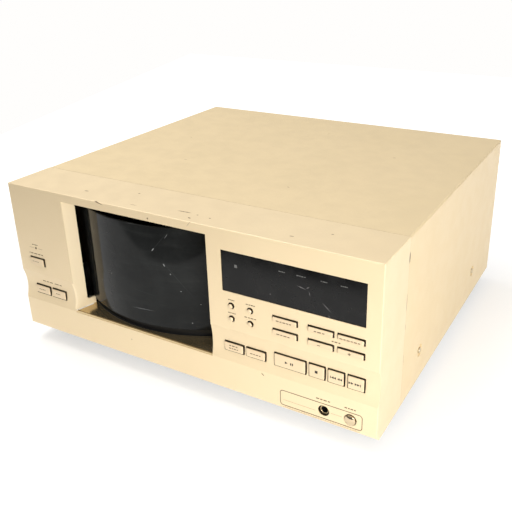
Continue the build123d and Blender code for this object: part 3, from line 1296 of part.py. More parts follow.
def clamp_arm():
    """Hangs from a pin in the frame's ears and swings the puck onto the disc."""
    barrel = rod_x(CLAMP_V, CLAMP_PIVOT_Z, CLAMP_BARREL_R, PLAY_U - CLAMP_W / 2, PLAY_U + CLAMP_W / 2)
    plate = block(PLAY_U - CLAMP_W / 2, PLAY_U + CLAMP_W / 2, CLAMP_V - CLAMP_T / 2, CLAMP_V + CLAMP_T / 2,
                  DISC_Z - CLAMP_TAIL, CLAMP_PIVOT_Z)
    pin = rod_x(CLAMP_V, CLAMP_PIVOT_Z, CLAMP_PIN_R, clamp_ears()[0] - PIN_SPARE,
                clamp_ears()[1] + FRAME_T + PIN_SPARE)
    hole = rod_y(PLAY_U, DISC_Z, PUCK_SHAFT_R + RUNNING, CLAMP_V - CLAMP_T, CLAMP_V + CLAMP_T)
    return in_transport(barrel + plate + pin - hole)


def clamp_puck():
    puck = rod_y(PLAY_U, DISC_Z, PUCK_R, PUCK_V, PUCK_V + PUCK_T)
    puck -= rod_y(PLAY_U, DISC_Z, PUCK_RECESS_R, PUCK_V - 1, PUCK_V + PUCK_RECESS)
    collar = rod_y(PLAY_U, DISC_Z, PUCK_COLLAR_R, PUCK_V + PUCK_T, CLAMP_V - CLAMP_T / 2 - PUCK_END_GAP)
    shaft = rod_y(PLAY_U, DISC_Z, PUCK_SHAFT_R, PUCK_V + PUCK_T, CLAMP_V + CLAMP_T / 2 + PUCK_SHAFT_SPARE)
    return in_transport(puck + collar + shaft)


# ================================================================ all nodes
def all_nodes():
    nodes = {
        "front_panel": front_panel(),
        "window_shelf": window_shelf(),
        "display_window": display_window(),
        "top_cover": top_cover(),
        "bottom_chassis": bottom_chassis(),
        "rear_panel": rear_panel(),
        "feet": feet(),
        "foot_pads": foot_pads(),
        "case_screws": case_screws(),
        "front_board": front_board(),
        "display_tube": display_tube(),
        "headphone_jack": headphone_jack(),
        "level_control": level_control(),
        "level_knob": level_knob(),
        "control_board": control_board(),
        "audio_board": audio_board(),
        "power_transformer": power_transformer(),
        "output_jacks": output_jacks(),
        "ac_inlet": ac_inlet(),
        "rack_base": rack_base(),
        "rack_spindle": rack_spindle(),
        "rack_motor": rack_motor(),
        "motor_bracket": motor_bracket(),
        "door_motor": door_motor(),
        "smoked_door": smoked_door(),
        "door_carrier": door_carrier(),
        "door_pinion": door_pinion(),
        "disc_rack": disc_rack(),
        "rack_pinion": rack_pinion(),
        "transport_frame": transport_frame(),
        "transport_dampers": transport_dampers(),
        "transport_motors": transport_motors(),
        "guide_rods": guide_rods(),
        "disc_guide": disc_guide(),
        "turntable": turntable(),
        "pickup_sled": pickup_sled(),
        "sled_gear": sled_gear(),
        "feed_roller": feed_roller(),
        "clamp_arm": clamp_arm(),
        "clamp_puck": clamp_puck(),
    }
    for name, x0, x1, z0, z1 in FACE_BUTTONS:
        nodes[name] = cap_button(x0, x1, z0, z1, -BUTTON_PROUD)
    for name, x0, x1, z0, z1 in BAND_BUTTONS:
        nodes[name] = cap_button(x0, x1, z0, z1, BAND_BUTTON_Y)
    for name, x, z in ROUND_BUTTONS:
        nodes[name] = round_button(x, z)
    return nodes


os.makedirs("parts", exist_ok=True)
for node_name, node_shape in all_nodes().items():
    export_step(Pos(0, -ORIGIN_Y, 0) * node_shape, f"parts/{node_name}.step")
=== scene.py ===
import json
import math

import bmesh
import bpy
from mathutils import Matrix, Vector


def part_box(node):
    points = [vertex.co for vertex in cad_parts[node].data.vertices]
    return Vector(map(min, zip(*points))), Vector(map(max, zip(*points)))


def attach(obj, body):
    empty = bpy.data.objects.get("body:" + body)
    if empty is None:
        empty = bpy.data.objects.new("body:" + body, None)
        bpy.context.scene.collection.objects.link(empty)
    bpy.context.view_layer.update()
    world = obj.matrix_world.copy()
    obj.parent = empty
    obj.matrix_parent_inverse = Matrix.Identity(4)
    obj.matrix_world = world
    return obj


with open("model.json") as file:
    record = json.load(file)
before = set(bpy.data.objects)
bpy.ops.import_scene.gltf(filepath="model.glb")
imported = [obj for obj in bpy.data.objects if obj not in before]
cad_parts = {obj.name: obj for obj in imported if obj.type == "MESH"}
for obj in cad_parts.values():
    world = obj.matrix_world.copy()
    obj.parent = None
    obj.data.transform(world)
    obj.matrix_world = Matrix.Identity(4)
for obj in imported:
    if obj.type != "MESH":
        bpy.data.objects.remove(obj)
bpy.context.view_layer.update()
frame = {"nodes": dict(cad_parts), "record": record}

# Looks of the disc changer. Sizes below are in millimetres: X from the middle, Y back from the front
# face, Z up from the front face's lower edge. place() turns them into the frame's metres.
ORIGIN_Y = -1000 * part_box("front_panel")[0][1]
FACE_Z = 21.0
PANEL_TOP = 167.2
PANEL_D = 58.7
HALF_W = 210.0
AXIS = (-52.6, 155.3)           # upright axis of rack and door
DOOR_R = 153.4
DOOR_SHADE_EDGE = (-30.5, -28.5)     # in degrees from the front: left of this the door is near black, painted shade
WINDOW = (-136.5, 42.5, 30.0, 161.0)        # left, right, low and high edge of its recess
BAND_LOW = 32.5
BAND_HIGH = 67.3
BAND_DEPTH = 3.4
RECESS_BACK = 25.0              # the window's recess ends before this depth
BOARD_Y = 18.0
LYING_TOP = 0.0272              # in metres: top of the boards that lie on the bottom
DISPLAY_Y = 0.8                 # the display's front lies this far back
SHELF_Z = 33.8                  # top of the floor plate
SOCKET = (159.3, 11.3)          # middle of the phones socket
KNOB = (185.0, 10.9)            # middle of the level knob
KNOB_CROWN = 32.0               # how fast its front falls away, per metre
LINE_BOX = (115.0, 196.4, 2.6, 19.1)        # left, right, low and high edge of the line round both
LINE_BOX_CORNER = 3.2
LINE_BOX_WIDE = 0.75
STROKES = (120.0, 192.0, 2.4)   # first, end and step of the slanting strokes under that box
FACE_HALF = 0.2055              # in metres: the face's holes lie this near to the middle
FACE_HOLES = (3.0, 161.0)       # and between these heights
INSIDE_HALF = 0.2085            # in metres: the inside of the moulding lies this near to it
LEFT_WALL = (-0.1375, -0.1290)  # in metres: the left wall of the recess, along X
LEFT_WALL_HIGH = (34.0, 160.0)
PLATE = (-0.15, 0.06)           # in metres: the floor plate lies between these, along X
COVER_UNDER = (0.180, 0.184)    # in metres: the underside of the cover's top is higher
UNDER_DOOR = (3.5, 2.9)         # in from the door's face: from here the plate is black, painted shade under the door
CAPS_SHADE_DEPTHS = (4.5, 5.0)          # behind these depths the caps are dark: painted shade in the holes round them
NODES = frame["nodes"]


def place(x, y, z):
    return Vector((x, y - ORIGIN_Y, z + FACE_Z)) / 1000


def at_depth(y):
    """Y in metres of a depth behind the front face."""
    return place(0, y, 0).y


def at_height(z):
    """Z in metres of a height above the face's lower edge."""
    return place(0, 0, z).z


def front_of(node):
    """Where a piece's front is, back from the front face."""
    return 1000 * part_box(node)[0][1] + ORIGIN_Y


def band_y(z):
    """How far the hollow band lies behind the front face at a height: an arc."""
    half = (BAND_HIGH - BAND_LOW) / 2
    r = (half * half + BAND_DEPTH * BAND_DEPTH) / (2 * BAND_DEPTH)
    off = z - BAND_LOW - half
    return BAND_DEPTH - r + math.sqrt(r * r - off * off)


# ------------------------------------------------------------------ material nodes
class Finish:
    """A node material with short calls for the nodes that the finishes share."""

    def __init__(self, name, rough, metal=0.0, **sockets):
        self.material = bpy.data.materials.new(name)
        self.material.use_nodes = True
        self.tree = self.material.node_tree
        self.shader = self.tree.nodes["Principled BSDF"]
        self.shader.inputs["Roughness"].default_value = rough
        self.shader.inputs["Metallic"].default_value = metal
        for key, value in sockets.items():
            self.shader.inputs[key.replace("_", " ")].default_value = value
        self.here = self.node("ShaderNodeTexCoord").outputs["Object"]

    def node(self, kind, **settings):
        made = self.tree.nodes.new(kind)
        for key, value in settings.items():
            setattr(made, key, value)
        return made

    def put(self, socket, value):
        if isinstance(value, bpy.types.NodeSocket):
            self.tree.links.new(value, socket)
        elif isinstance(value, tuple) and len(value) == 3 and socket.type == "RGBA":
            socket.default_value = (*value, 1.0)
        else:
            socket.default_value = value

    def set(self, name, value):
        self.put(self.shader.inputs[name], value)

    def calc(self, operation, a, b=0.0):
        made = self.node("ShaderNodeMath", operation=operation)
        self.put(made.inputs[0], a)
        self.put(made.inputs[1], b)
        return made.outputs[0]

    def mix(self, share, a, b):
        made = self.node("ShaderNodeMix", data_type="RGBA")
        self.put(made.inputs["Factor"], share)
        self.put(made.inputs[6], a)
        self.put(made.inputs[7], b)
        return made.outputs[2]

    def span(self, value, low, high, out_low=0.0, out_high=1.0):
        made = self.node("ShaderNodeMapRange", interpolation_type="SMOOTHSTEP")
        self.put(made.inputs["Value"], value)
        made.inputs["From Min"].default_value = low
        made.inputs["From Max"].default_value = high
        made.inputs["To Min"].default_value = out_low
        made.inputs["To Max"].default_value = out_high
        return made.outputs[0]

    def stretched(self, factors, where=None):
        made = self.node("ShaderNodeVectorMath", operation="MULTIPLY")
        self.put(made.inputs[0], where or self.here)
        made.inputs[1].default_value = factors
        return made.outputs[0]

    def noise(self, scale, detail=3.0, rough=0.55, where=None, twist=0.0):
        made = self.node("ShaderNodeTexNoise")
        self.put(made.inputs["Vector"], where or self.here)
        made.inputs["Scale"].default_value = scale
        made.inputs["Detail"].default_value = detail
        made.inputs["Roughness"].default_value = rough
        made.inputs["Distortion"].default_value = twist
        return made.outputs["Fac"]

    def axis(self, index, where=None):
        made = self.node("ShaderNodeSeparateXYZ")
        self.put(made.inputs[0], where or self.here)
        return made.outputs[index]

    def between(self, value, low, high, soft=0.00015):
        up = self.span(value, low - soft, low + soft)
        down = self.span(value, high - soft, high + soft, 1.0, 0.0)
        return self.calc("MULTIPLY", up, down)

    def facing(self, index):
        """How far the surface faces along an axis, either way, from 0 to 1."""
        return self.calc("ABSOLUTE", self.axis(index, self.node("ShaderNodeNewGeometry").outputs["Normal"]))

    def bump(self, height, strength, depth):
        made = self.node("ShaderNodeBump")
        made.inputs["Strength"].default_value = strength
        made.inputs["Distance"].default_value = depth
        self.put(made.inputs["Height"], height)
        old = self.shader.inputs["Normal"]
        if old.is_linked:
            self.put(made.inputs["Normal"], old.links[0].from_socket)
        self.put(old, made.outputs[0])

    def strokes(self, marks, where=None, soft=0.55):
        """Share of short marks: each a place, a turn and three half sizes, in metres and radians."""
        nearest = None
        for spot, turn, halves in marks:
            made = self.node("ShaderNodeMapping", vector_type="TEXTURE")
            self.put(made.inputs["Vector"], where or self.here)
            made.inputs["Location"].default_value = spot
            made.inputs["Rotation"].default_value = turn
            made.inputs["Scale"].default_value = halves
            far = self.node("ShaderNodeVectorMath", operation="LENGTH")
            self.put(far.inputs[0], made.outputs[0])
            far = far.outputs["Value"]
            nearest = far if nearest is None else self.calc("MINIMUM", nearest, far)
        return self.span(nearest, soft, 1.0, 1.0, 0.0)


# ------------------------------------------------------------------ tones and kinds of surface
CREAM = (0.76, 0.615, 0.395)
CREAM_WORN = (0.60, 0.45, 0.26)
# lighter tone for the left wall of the recess: painted light
WALL_LIT = (0.95, 0.80, 0.55)
SHEET = (0.73, 0.585, 0.36)
SHEET_WORN = (0.60, 0.48, 0.27)
CAPS = (0.71, 0.565, 0.37)
CHIP_AND_SEAM_SHADE = (0.13, 0.08, 0.04)       # the dark under a chip in the paint; on the seam the same dark is painted shade of the open gap
SHADE_DARK = (0.030, 0.018, 0.007)     # painted shade: the dark inside holes, in gaps and inside the case
GILT = (0.60, 0.47, 0.27)
BLACK = (0.004, 0.004, 0.004)


def paint(name, tone, worn, rough, metal, marks=(), soil=0.10, painted_shade=None):
    """Metallic paint: soft cloudiness, fine flakes, a faint orange peel and a few chipped spots; some marks
    on the seam take the chip colour as painted shade of the open gap.

    The last argument gives the share that is painted dark as painted shade: inside holes, in gaps and inside
    the case."""
    f = Finish(name, rough, metal)
    cloud = f.span(f.noise(9.0, 4.0, 0.6), 0.35, 0.7)
    flakes = f.span(f.noise(2600.0, 1.0), 0.3, 0.75)
    colour = f.mix(f.calc("MULTIPLY", cloud, soil), tone, worn)
    darker = tuple(c * 0.93 for c in tone)
    colour = f.mix(f.calc("MULTIPLY", flakes, 0.35), colour, darker)
    specks = f.span(f.noise(420.0, 2.0, 0.7), 0.76, 0.80)
    colour = f.mix(f.calc("MULTIPLY", specks, 0.25), colour, worn)
    if marks:
        # chipped spots in the paint; where the marks sit on the seam they are painted shade of the open gap
        broken = f.span(f.noise(900.0, 2.0), 0.32, 0.45, 0.55, 1.0)
        chips_and_seam_shade = f.calc("MULTIPLY", f.strokes(marks), broken)
        colour = f.mix(chips_and_seam_shade, colour, CHIP_AND_SEAM_SHADE)
        f.set("Metallic", f.calc("MULTIPLY", f.calc("SUBTRACT", 1.0, chips_and_seam_shade), metal))
    # painted shade: dark where the mask says shade falls in holes, gaps and the case
    if painted_shade:
        shade_share = painted_shade(f)
        colour = f.mix(shade_share, colour, SHADE_DARK)
        f.set("Metallic", f.calc("MULTIPLY", f.calc("SUBTRACT", 1.0, shade_share), metal))
    f.set("Base Color", colour)
    f.set("Roughness", f.span(f.noise(60.0, 4.0), 0.3, 0.7, rough - 0.04, rough + 0.06))
    f.bump(f.noise(1500.0, 2.0), 0.08, 0.0002)
    return f


def plain(name, tone, rough, metal=0.0, shift=0.8, grain=700.0, **sockets):
    """Moulded plastic, plated sheet and the like: two tones, uneven gloss and a fine grain."""
    f = Finish(name, rough, metal, **sockets)
    other = tuple(c * shift for c in tone)
    f.set("Base Color", f.mix(f.span(f.noise(25.0, 4.0), 0.3, 0.7), tone, other))
    f.set("Roughness", f.span(f.noise(180.0, 3.0), 0.3, 0.7, max(0.02, rough - 0.05), rough + 0.07))
    f.bump(f.noise(grain, 2.0), 0.12, 0.0002)
    return f


# ------------------------------------------------------------------ finishes
def top_mark(x, y, length, width, degrees):
    spot = place(x, y, PANEL_TOP)
    return spot, (0, 0, math.radians(degrees)), (length / 2000, width / 2000, 0.002)


def face_mark(x, z, length, width, degrees):
    return place(x, 0, z), (0, math.radians(-degrees), 0), (length / 2000, 0.002, width / 2000)


def side_mark(side, y, z, height, width):
    return place(side * HALF_W, y, z), (0, 0, 0), (0.002, width / 2000, height / 2000)


PANEL_MARKS = [
    top_mark(-115.9, 18.8, 6.0, 1.8, 8), top_mark(-47.5, 9.8, 9.0, 0.9, 4),
    top_mark(6.9, 17.8, 18.0, 1.7, 3),
    top_mark(19.6, 7.6, 4.5, 1.9, -20), top_mark(22.2, 16.7, 2.5, 1.4, 0), top_mark(36.8, 15.3, 2.5, 1.6, 0),
    top_mark(-63.2, 37.2, 3.0, 1.6, 10), top_mark(121.0, 14.0, 5.0, 1.4, 6),
    top_mark(150.0, 33.0, 3.0, 1.3, 30),
    face_mark(-83.3, 166.4, 14.0, 1.3, -12), face_mark(-23.1, 161.4, 2.0, 2.2, 0),
    face_mark(24.0, 165.0, 9.0, 0.3, 50), face_mark(-60.0, 20.0, 2.0, 0.9, 20),
    face_mark(97.0, 29.0, 4.5, 1.3, -40), face_mark(203.0, 60.0, 1.3, 1.1, 0),
    # these two marks on the right side, on the seam at heights 148 and 105, are painted shade of the open
    # gap between moulding and cover
    side_mark(1, PANEL_D, 148.0, 14.0, 3.0), side_mark(1, PANEL_D, 105.0, 22.0, 2.2),
    side_mark(1, PANEL_D, 46.0, 14.0, 1.0), side_mark(1, PANEL_D, 80.0, 8.0, 1.2),
]


def inside_moulding(f):
    """Painted shade: the walls of the holes in the face, everything that faces backwards and the inside
    behind the recess are painted dark.
    """
    x, y, z = f.axis(0), f.axis(1), f.axis(2)
    x0, x1, z0, z1 = WINDOW
    tall = f.between(z, *map(at_height, FACE_HOLES))
    on_face = f.calc("MULTIPLY", f.between(x, -FACE_HALF, FACE_HALF), tall)
    tall = f.between(z, at_height(z0), at_height(z1))
    window = f.calc("MULTIPLY", f.between(x, x0 / 1000, x1 / 1000), tall)
    sideways = f.span(f.facing(1), 0.25, 0.35, 1.0, 0.0)
    deep = f.span(y, at_depth(0.25), at_depth(0.5))
    share = f.calc("MULTIPLY", f.calc("MULTIPLY", on_face, sideways), deep)
    share = f.calc("MULTIPLY", share, f.calc("SUBTRACT", 1.0, window))
    normal = f.node("ShaderNodeNewGeometry").outputs["Normal"]
    backwards = f.span(f.axis(1, normal), 0.3, 0.5)
    tall = f.between(z, at_height(0.5), at_height(PANEL_TOP - 1))
    hidden = f.calc("MULTIPLY", f.between(x, -INSIDE_HALF, INSIDE_HALF), tall)
    hidden = f.calc("MULTIPLY", hidden, f.span(y, at_depth(RECESS_BACK + 1), at_depth(RECESS_BACK + 2)))
    return f.calc("MAXIMUM", share, f.calc("MAXIMUM", backwards, hidden))


def moulding_finish():
    """The face's paint, with a lighter tone on the left wall of the recess: painted light, where the light
    from the right falls on it.
    """
    f = paint("champagne_moulding", CREAM, CREAM_WORN, 0.42, 0.15, PANEL_MARKS, painted_shade=inside_moulding)
    aged = f.shader.inputs["Base Color"].links[0].from_socket
    along = f.between(f.axis(1), at_depth(0.8), at_depth(RECESS_BACK))
    wall = f.calc("MULTIPLY", f.between(f.axis(0), *LEFT_WALL), along)
    wall = f.calc("MULTIPLY", wall, f.between(f.axis(2), *map(at_height, LEFT_WALL_HIGH)))
    # lighter tone on the left wall of the recess: painted light
    f.set("Base Color", f.mix(f.calc("MULTIPLY", wall, 0.8), aged, WALL_LIT))
    return f


def inside_sheet(f):
    """Painted shade: the inner faces of the cover are painted dark."""
    normal = f.node("ShaderNodeNewGeometry").outputs["Normal"]
    sides = f.span(f.calc("MULTIPLY", f.axis(0, normal), f.axis(0)), -0.15, -0.10, 1.0, 0.0)
    under = f.span(f.axis(2, normal), -0.6, -0.4, 1.0, 0.0)
    return f.calc("MAXIMUM", sides, f.calc("MULTIPLY", under, f.span(f.axis(2), *COVER_UNDER)))


def sheet_finish():
    # this mark on the seam is painted shade of the open gap between cover and moulding
    marks = [side_mark(1, PANEL_D + 0.6, 148.0, 12.0, 2.0)]
    for x, y, length, width, turn in (
        (-90.0, 150.0, 4.0, 1.0, 20), (-140.0, 230.0, 3.0, 1.0, 60), (60.0, 120.0, 5.0, 0.8, -30),
        (120.0, 260.0, 4.0, 1.0, 10), (10.0, 320.0, 6.0, 0.7, 40),
    ):
        marks.append(top_mark(x, y, length, width, turn))
    return paint("champagne_sheet", SHEET, SHEET_WORN, 0.46, 0.15, marks, 0.14, painted_shade=inside_sheet)


def cap_sides(f):
    """Painted shade in the gaps round the caps: their sides, collars and stems are dark; only the fronts and
    bevels keep the paint tone.
    """
    sideways = f.span(f.facing(1), 0.35, 0.55, 1.0, 0.0)
    behind = f.span(f.axis(1), *map(at_depth, CAPS_SHADE_DEPTHS))
    return f.calc("MAXIMUM", sideways, behind)


def caps_finish():
    return paint("champagne_caps", CAPS, CREAM_WORN, 0.38, 0.15, painted_shade=cap_sides)


def gold_finish():
    """Gilt gloss, black on the floor plate under the door and behind it: painted shade under the door."""
    f = Finish("gold_gloss", 0.14, 0.9)
    tone = f.mix(f.span(f.noise(25.0, 4.0), 0.3, 0.7), GILT, (0.54, 0.42, 0.24))
    x = f.calc("SUBTRACT", f.axis(0), AXIS[0] / 1000)
    y = f.calc("SUBTRACT", f.axis(1), (AXIS[1] - ORIGIN_Y) / 1000)
    across = f.calc("SQRT", f.calc("ADD", f.calc("MULTIPLY", x, x), f.calc("MULTIPLY", y, y)))
    near = f.span(across, *((DOOR_R - inwards) / 1000 for inwards in UNDER_DOOR), 1.0, 0.0)
    # the plate under and behind the door is black: painted shade
    plate = f.calc("MULTIPLY", near, f.between(f.axis(0), *PLATE))
    f.set("Base Color", f.mix(plate, tone, BLACK))
    f.set("Metallic", f.calc("MULTIPLY", f.calc("SUBTRACT", 1.0, plate), 0.9))
    gloss = f.span(f.noise(180.0, 3.0), 0.3, 0.7, 0.09, 0.21)
    f.set("Roughness", f.calc("MAXIMUM", gloss, f.calc("MULTIPLY", plate, 0.9)))
    f.bump(f.noise(300.0, 2.0), 0.12, 0.0001)
    return f


def knob_finish():
    """Polished gilt, with a bump that deepens the crown of the front."""
    f = Finish("knob_gilt", 0.05, 1.0)
    f.set("Base Color", f.mix(f.span(f.noise(60.0, 4.0), 0.3, 0.7), (0.70, 0.58, 0.40), (0.62, 0.50, 0.33)))
    f.set("Roughness", f.span(f.noise(400.0, 3.0), 0.3, 0.7, 0.03, 0.08))
    middle = place(KNOB[0], 0, KNOB[1])
    x, z = f.calc("SUBTRACT", f.axis(0), middle.x), f.calc("SUBTRACT", f.axis(2), middle.z)
    off = f.calc("ADD", f.calc("MULTIPLY", x, x), f.calc("MULTIPLY", z, z))
    f.bump(f.calc("MULTIPLY", off, -KNOB_CROWN), 1.0, 1.0)
    return f


def arc_place(f):
    """Distance round the door, nothing, and height: flat coordinates on the curved door."""
    x = f.calc("SUBTRACT", f.axis(0), AXIS[0] / 1000)
    y = f.calc("SUBTRACT", (AXIS[1] - ORIGIN_Y) / 1000, f.axis(1))
    round_it = f.calc("MULTIPLY", f.calc("ARCTAN2", x, y), DOOR_R / 1000)
    made = f.node("ShaderNodeCombineXYZ")
    f.put(made.inputs[0], round_it)
    f.put(made.inputs[2], f.axis(2))
    return made.outputs[0]


def door_mark(degrees, z, length, width, turn):
    """A mark on the door at an angle from the front, positive to the right, and an absolute height."""
    spot = (math.radians(degrees) * DOOR_R / 1000, 0, z / 1000)
    return spot, (0, math.radians(-turn), 0), (length / 2000, 0.01, width / 2000)


def door_finish():
    f = Finish("smoked_acrylic", 0.10, 0.0, IOR=1.49, Specular_IOR_Level=0.13)
    flat = arc_place(f)
    film = f.span(f.noise(22.0, 5.0, 0.6, flat, 0.4), 0.35, 0.75)
    streaks = f.span(f.noise(30.0, 4.0, 0.6, f.stretched((0.4, 1.0, 2.2), flat), 1.0), 0.45, 0.8)
    dust = f.calc("MULTIPLY", f.calc("ADD", film, streaks), 0.5)
    colour = f.mix(dust, (0.009, 0.0096, 0.0096), (0.022, 0.0235, 0.0228))
    # left part of the door painted near black: painted shade
    unshaded = f.span(f.axis(0, flat), *(math.radians(turn) * DOOR_R / 1000 for turn in DOOR_SHADE_EDGE))
    colour = f.mix(unshaded, (0.001, 0.001, 0.001), colour)
    bright = f.strokes([
        door_mark(16.2, 163.8, 7.0, 0.5, 55), door_mark(10.6, 148.5, 5.5, 1.3, 50),
        door_mark(14.5, 133.4, 4.5, 1.4, -60), door_mark(16.7, 124.2, 2.2, 1.0, -50),
        door_mark(20.2, 106.4, 1.8, 1.0, 0), door_mark(23.6, 71.7, 1.8, 1.2, 0),
        door_mark(27.2, 92.8, 1.4, 0.9, 0), door_mark(3.8, 80.4, 32.0, 0.35, 2),
        door_mark(-11.0, 110.0, 0.9, 0.9, 0), door_mark(-18.0, 96.0, 0.9, 0.8, 0),
    ], flat, 0.3)
    fine = f.strokes([
        door_mark(19.0, 120.0, 70.0, 0.45, -52), door_mark(13.0, 156.0, 50.0, 0.4, 50),
        door_mark(-11.4, 137.0, 52.0, 0.5, -16), door_mark(30.0, 100.0, 22.0, 0.4, -35),
        door_mark(-20.0, 152.0, 26.0, 0.4, 60), door_mark(5.0, 100.0, 40.0, 0.3, -8),
    ], flat, 0.1)
    colour = f.mix(f.calc("MULTIPLY", fine, 0.22), colour, (0.12, 0.13, 0.13))
    colour = f.mix(f.calc("MULTIPLY", bright, 0.8), colour, (0.30, 0.31, 0.31))
    f.set("Base Color", colour)
    f.set("Roughness", f.calc("ADD", f.calc("MULTIPLY", dust, 0.12), 0.07))
    f.bump(f.noise(14.0, 2.0, 0.5, flat), 0.10, 0.002)
    return f


def display_finish():
    f = Finish("dark_acrylic", 0.12, 0.0, IOR=1.49, Specular_IOR_Level=0.22)
    haze = f.span(f.noise(40.0, 4.0), 0.35, 0.7)
    colour = f.mix(haze, BLACK, (0.009, 0.009, 0.009))
    scuff = f.strokes([
        (place(137.0, DISPLAY_Y, 128.6), (0, math.radians(12), 0), (0.0055, 0.01, 0.0006)),
        (place(143.0, DISPLAY_Y, 129.8), (0, math.radians(-30), 0), (0.0022, 0.01, 0.0005)),
        (place(144.6, DISPLAY_Y, 124.5), (0, math.radians(75), 0), (0.0030, 0.01, 0.0003)),
        (place(160.6, DISPLAY_Y, 115.5), (0, math.radians(41), 0), (0.0068, 0.01, 0.0005)),
        (place(163.2, DISPLAY_Y, 107.2), (0, math.radians(56), 0), (0.0022, 0.01, 0.0005)),
        (place(106.5, DISPLAY_Y, 114.7), (0, 0, 0), (0.0009, 0.01, 0.0006)),
    ], soft=0.2)
    colour = f.mix(f.calc("MULTIPLY", scuff, 0.6), colour, (0.20, 0.19, 0.19))
    f.set("Base Color", colour)
    f.set("Roughness", f.calc("ADD", f.calc("MULTIPLY", haze, 0.08), 0.10))
    return f


def board_finish():
    """Bare laminate with a pattern of tracks; what stands on it is dark."""
    f = Finish("board_laminate", 0.45)
    cells = f.node("ShaderNodeTexVoronoi", feature="DISTANCE_TO_EDGE")
    f.put(cells.inputs["Vector"], f.here)
    cells.inputs["Scale"].default_value = 160.0
    tracks = f.span(cells.outputs["Distance"], 0.04, 0.07)
    wood = f.mix(tracks, (0.30, 0.22, 0.10), (0.46, 0.33, 0.15))
    upright = f.span(f.axis(1), at_depth(BOARD_Y - 0.2), at_depth(BOARD_Y), 1.0, 0.0)
    lying = f.calc("MULTIPLY", f.span(f.axis(2), LYING_TOP, LYING_TOP + 0.0004),
                   f.span(f.axis(1), at_depth(2 * BOARD_Y), at_depth(2 * BOARD_Y + 1)))
    f.set("Base Color", f.mix(f.calc("MAXIMUM", upright, lying), wood, (0.02, 0.02, 0.022)))
    f.bump(tracks, 0.2, 0.0002)
    return f


FINISHES = {
    "champagne_moulding": moulding_finish,
    "champagne_caps": caps_finish,
    "champagne_sheet": sheet_finish,
    "gold_gloss": gold_finish,
    "knob_gilt": knob_finish,
    "smoked_acrylic": door_finish,
    "dark_acrylic": display_finish,
    "board_laminate": board_finish,
    "zinc_sheet": lambda: plain("zinc_sheet", (0.62, 0.62, 0.60), 0.34, 0.9, 0.8, 90.0),
    "foot_plastic": lambda: plain("foot_plastic", (0.030, 0.029, 0.028), 0.5),
    "foot_rubber": lambda: plain("foot_rubber", (0.025, 0.025, 0.025), 0.8),
    "screw_steel": lambda: plain("screw_steel", (0.66, 0.57, 0.40), 0.32, 0.9, 0.85),
    "tube_glass": lambda: plain("tube_glass", (0.12, 0.14, 0.14), 0.08),
    "jack_plastic": lambda: plain("jack_plastic", (0.008, 0.008, 0.008), 0.35, Specular_IOR_Level=0.3),
    "control_metal": lambda: plain("control_metal", (0.55, 0.55, 0.55), 0.35, 0.9),
    "core_steel": lambda: plain("core_steel", (0.20, 0.18, 0.15), 0.45, 0.6, 0.7, 1500.0),
    "black_moulding": lambda: plain("black_moulding", (0.008, 0.008, 0.008), 0.48, Specular_IOR_Level=0.3),
    "rack_moulding": lambda: plain("rack_moulding", (0.024, 0.024, 0.025), 0.45),
    "rod_steel": lambda: plain("rod_steel", (0.70, 0.70, 0.70), 0.18, 1.0, 0.9),
    "motor_steel": lambda: plain("motor_steel", (0.60, 0.60, 0.58), 0.28, 0.95, 0.85),
    "gear_plastic": lambda: plain("gear_plastic", (0.80, 0.79, 0.72), 0.40),
    "roller_rubber": lambda: plain("roller_rubber", (0.035, 0.035, 0.035), 0.75),
}
MADE = {}


def finish_of(slot_name):
    if slot_name not in MADE:
        MADE[slot_name] = FINISHES[slot_name]().material
    return MADE[slot_name]


SLOT_OF = {part["node"]: part["material_slot"] for part in frame["record"]["subparts"]}
for node_name, node in NODES.items():
    node.data.materials.clear()
    node.data.materials.append(finish_of("knob_gilt" if node_name == "level_knob" else SLOT_OF[node_name]))


# ------------------------------------------------------------------ small pieces on the surfaces
def new_piece(name, mesh, material, body):
    piece = bpy.data.objects.new(name, mesh)
    bpy.context.scene.collection.objects.link(piece)
    mesh.materials.append(material)
    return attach(piece, body)


def closed_between(bm, rings):
    """End faces and sides of a solid between two rings of corners."""
    bm.faces.new(rings[0])
    bm.faces.new(list(reversed(rings[1])))
    for i in range(len(rings[0])):
        j = (i + 1) % len(rings[0])
        bm.faces.new((rings[0][i], rings[1][i], rings[1][j], rings[0][j]))


def mesh_of(name, bm):
    bmesh.ops.recalc_face_normals(bm, faces=bm.faces)
    mesh = bpy.data.meshes.new(name)
    bm.to_mesh(mesh)
    bm.free()
    return mesh


def slabs(name, outlines, y, material, body, thick=0.06):
    """Thin printed or inlaid shapes on a plane facing the front: closed outlines in X and Z."""
    bm = bmesh.new()
    for outline in outlines:
        rings = []
        for depth in (y - thick, y + thick):
            rings.append([bm.verts.new(place(x, depth, z)) for x, z in outline])
        closed_between(bm, rings)
    return new_piece(name, mesh_of(name, bm), material, body)


def bar(x0, x1, z0, z1):
    return [(x0, z0), (x1, z0), (x1, z1), (x0, z1)]


def dashes(x, z, width, height, pattern):
    """A row of short bars, centred on x and z, such as small print shows from a step away."""
    total = sum(abs(p) for p in pattern)
    at = x - width / 2
    bars = []
    for p in pattern:
        run = width * abs(p) / total
        if p > 0:
            bars.append(bar(at, at + run, z - height / 2, z + height / 2))
        at += run
    return bars


def print_finish(name, tone):
    return plain(name, tone, 0.5, 0.0, 0.85).material


INK = print_finish("ink_brown", (0.13, 0.085, 0.040))
INK_PALE = print_finish("ink_pale", (0.40, 0.30, 0.17))
INK_GREY = print_finish("ink_grey", (0.12, 0.12, 0.115))
INK_DARK = print_finish("ink_dark", (0.022, 0.014, 0.008))
WORD = (3, -1, 2, -1, 3, -1, 2)
SHORT = (2, -1, 3, -1, 2)


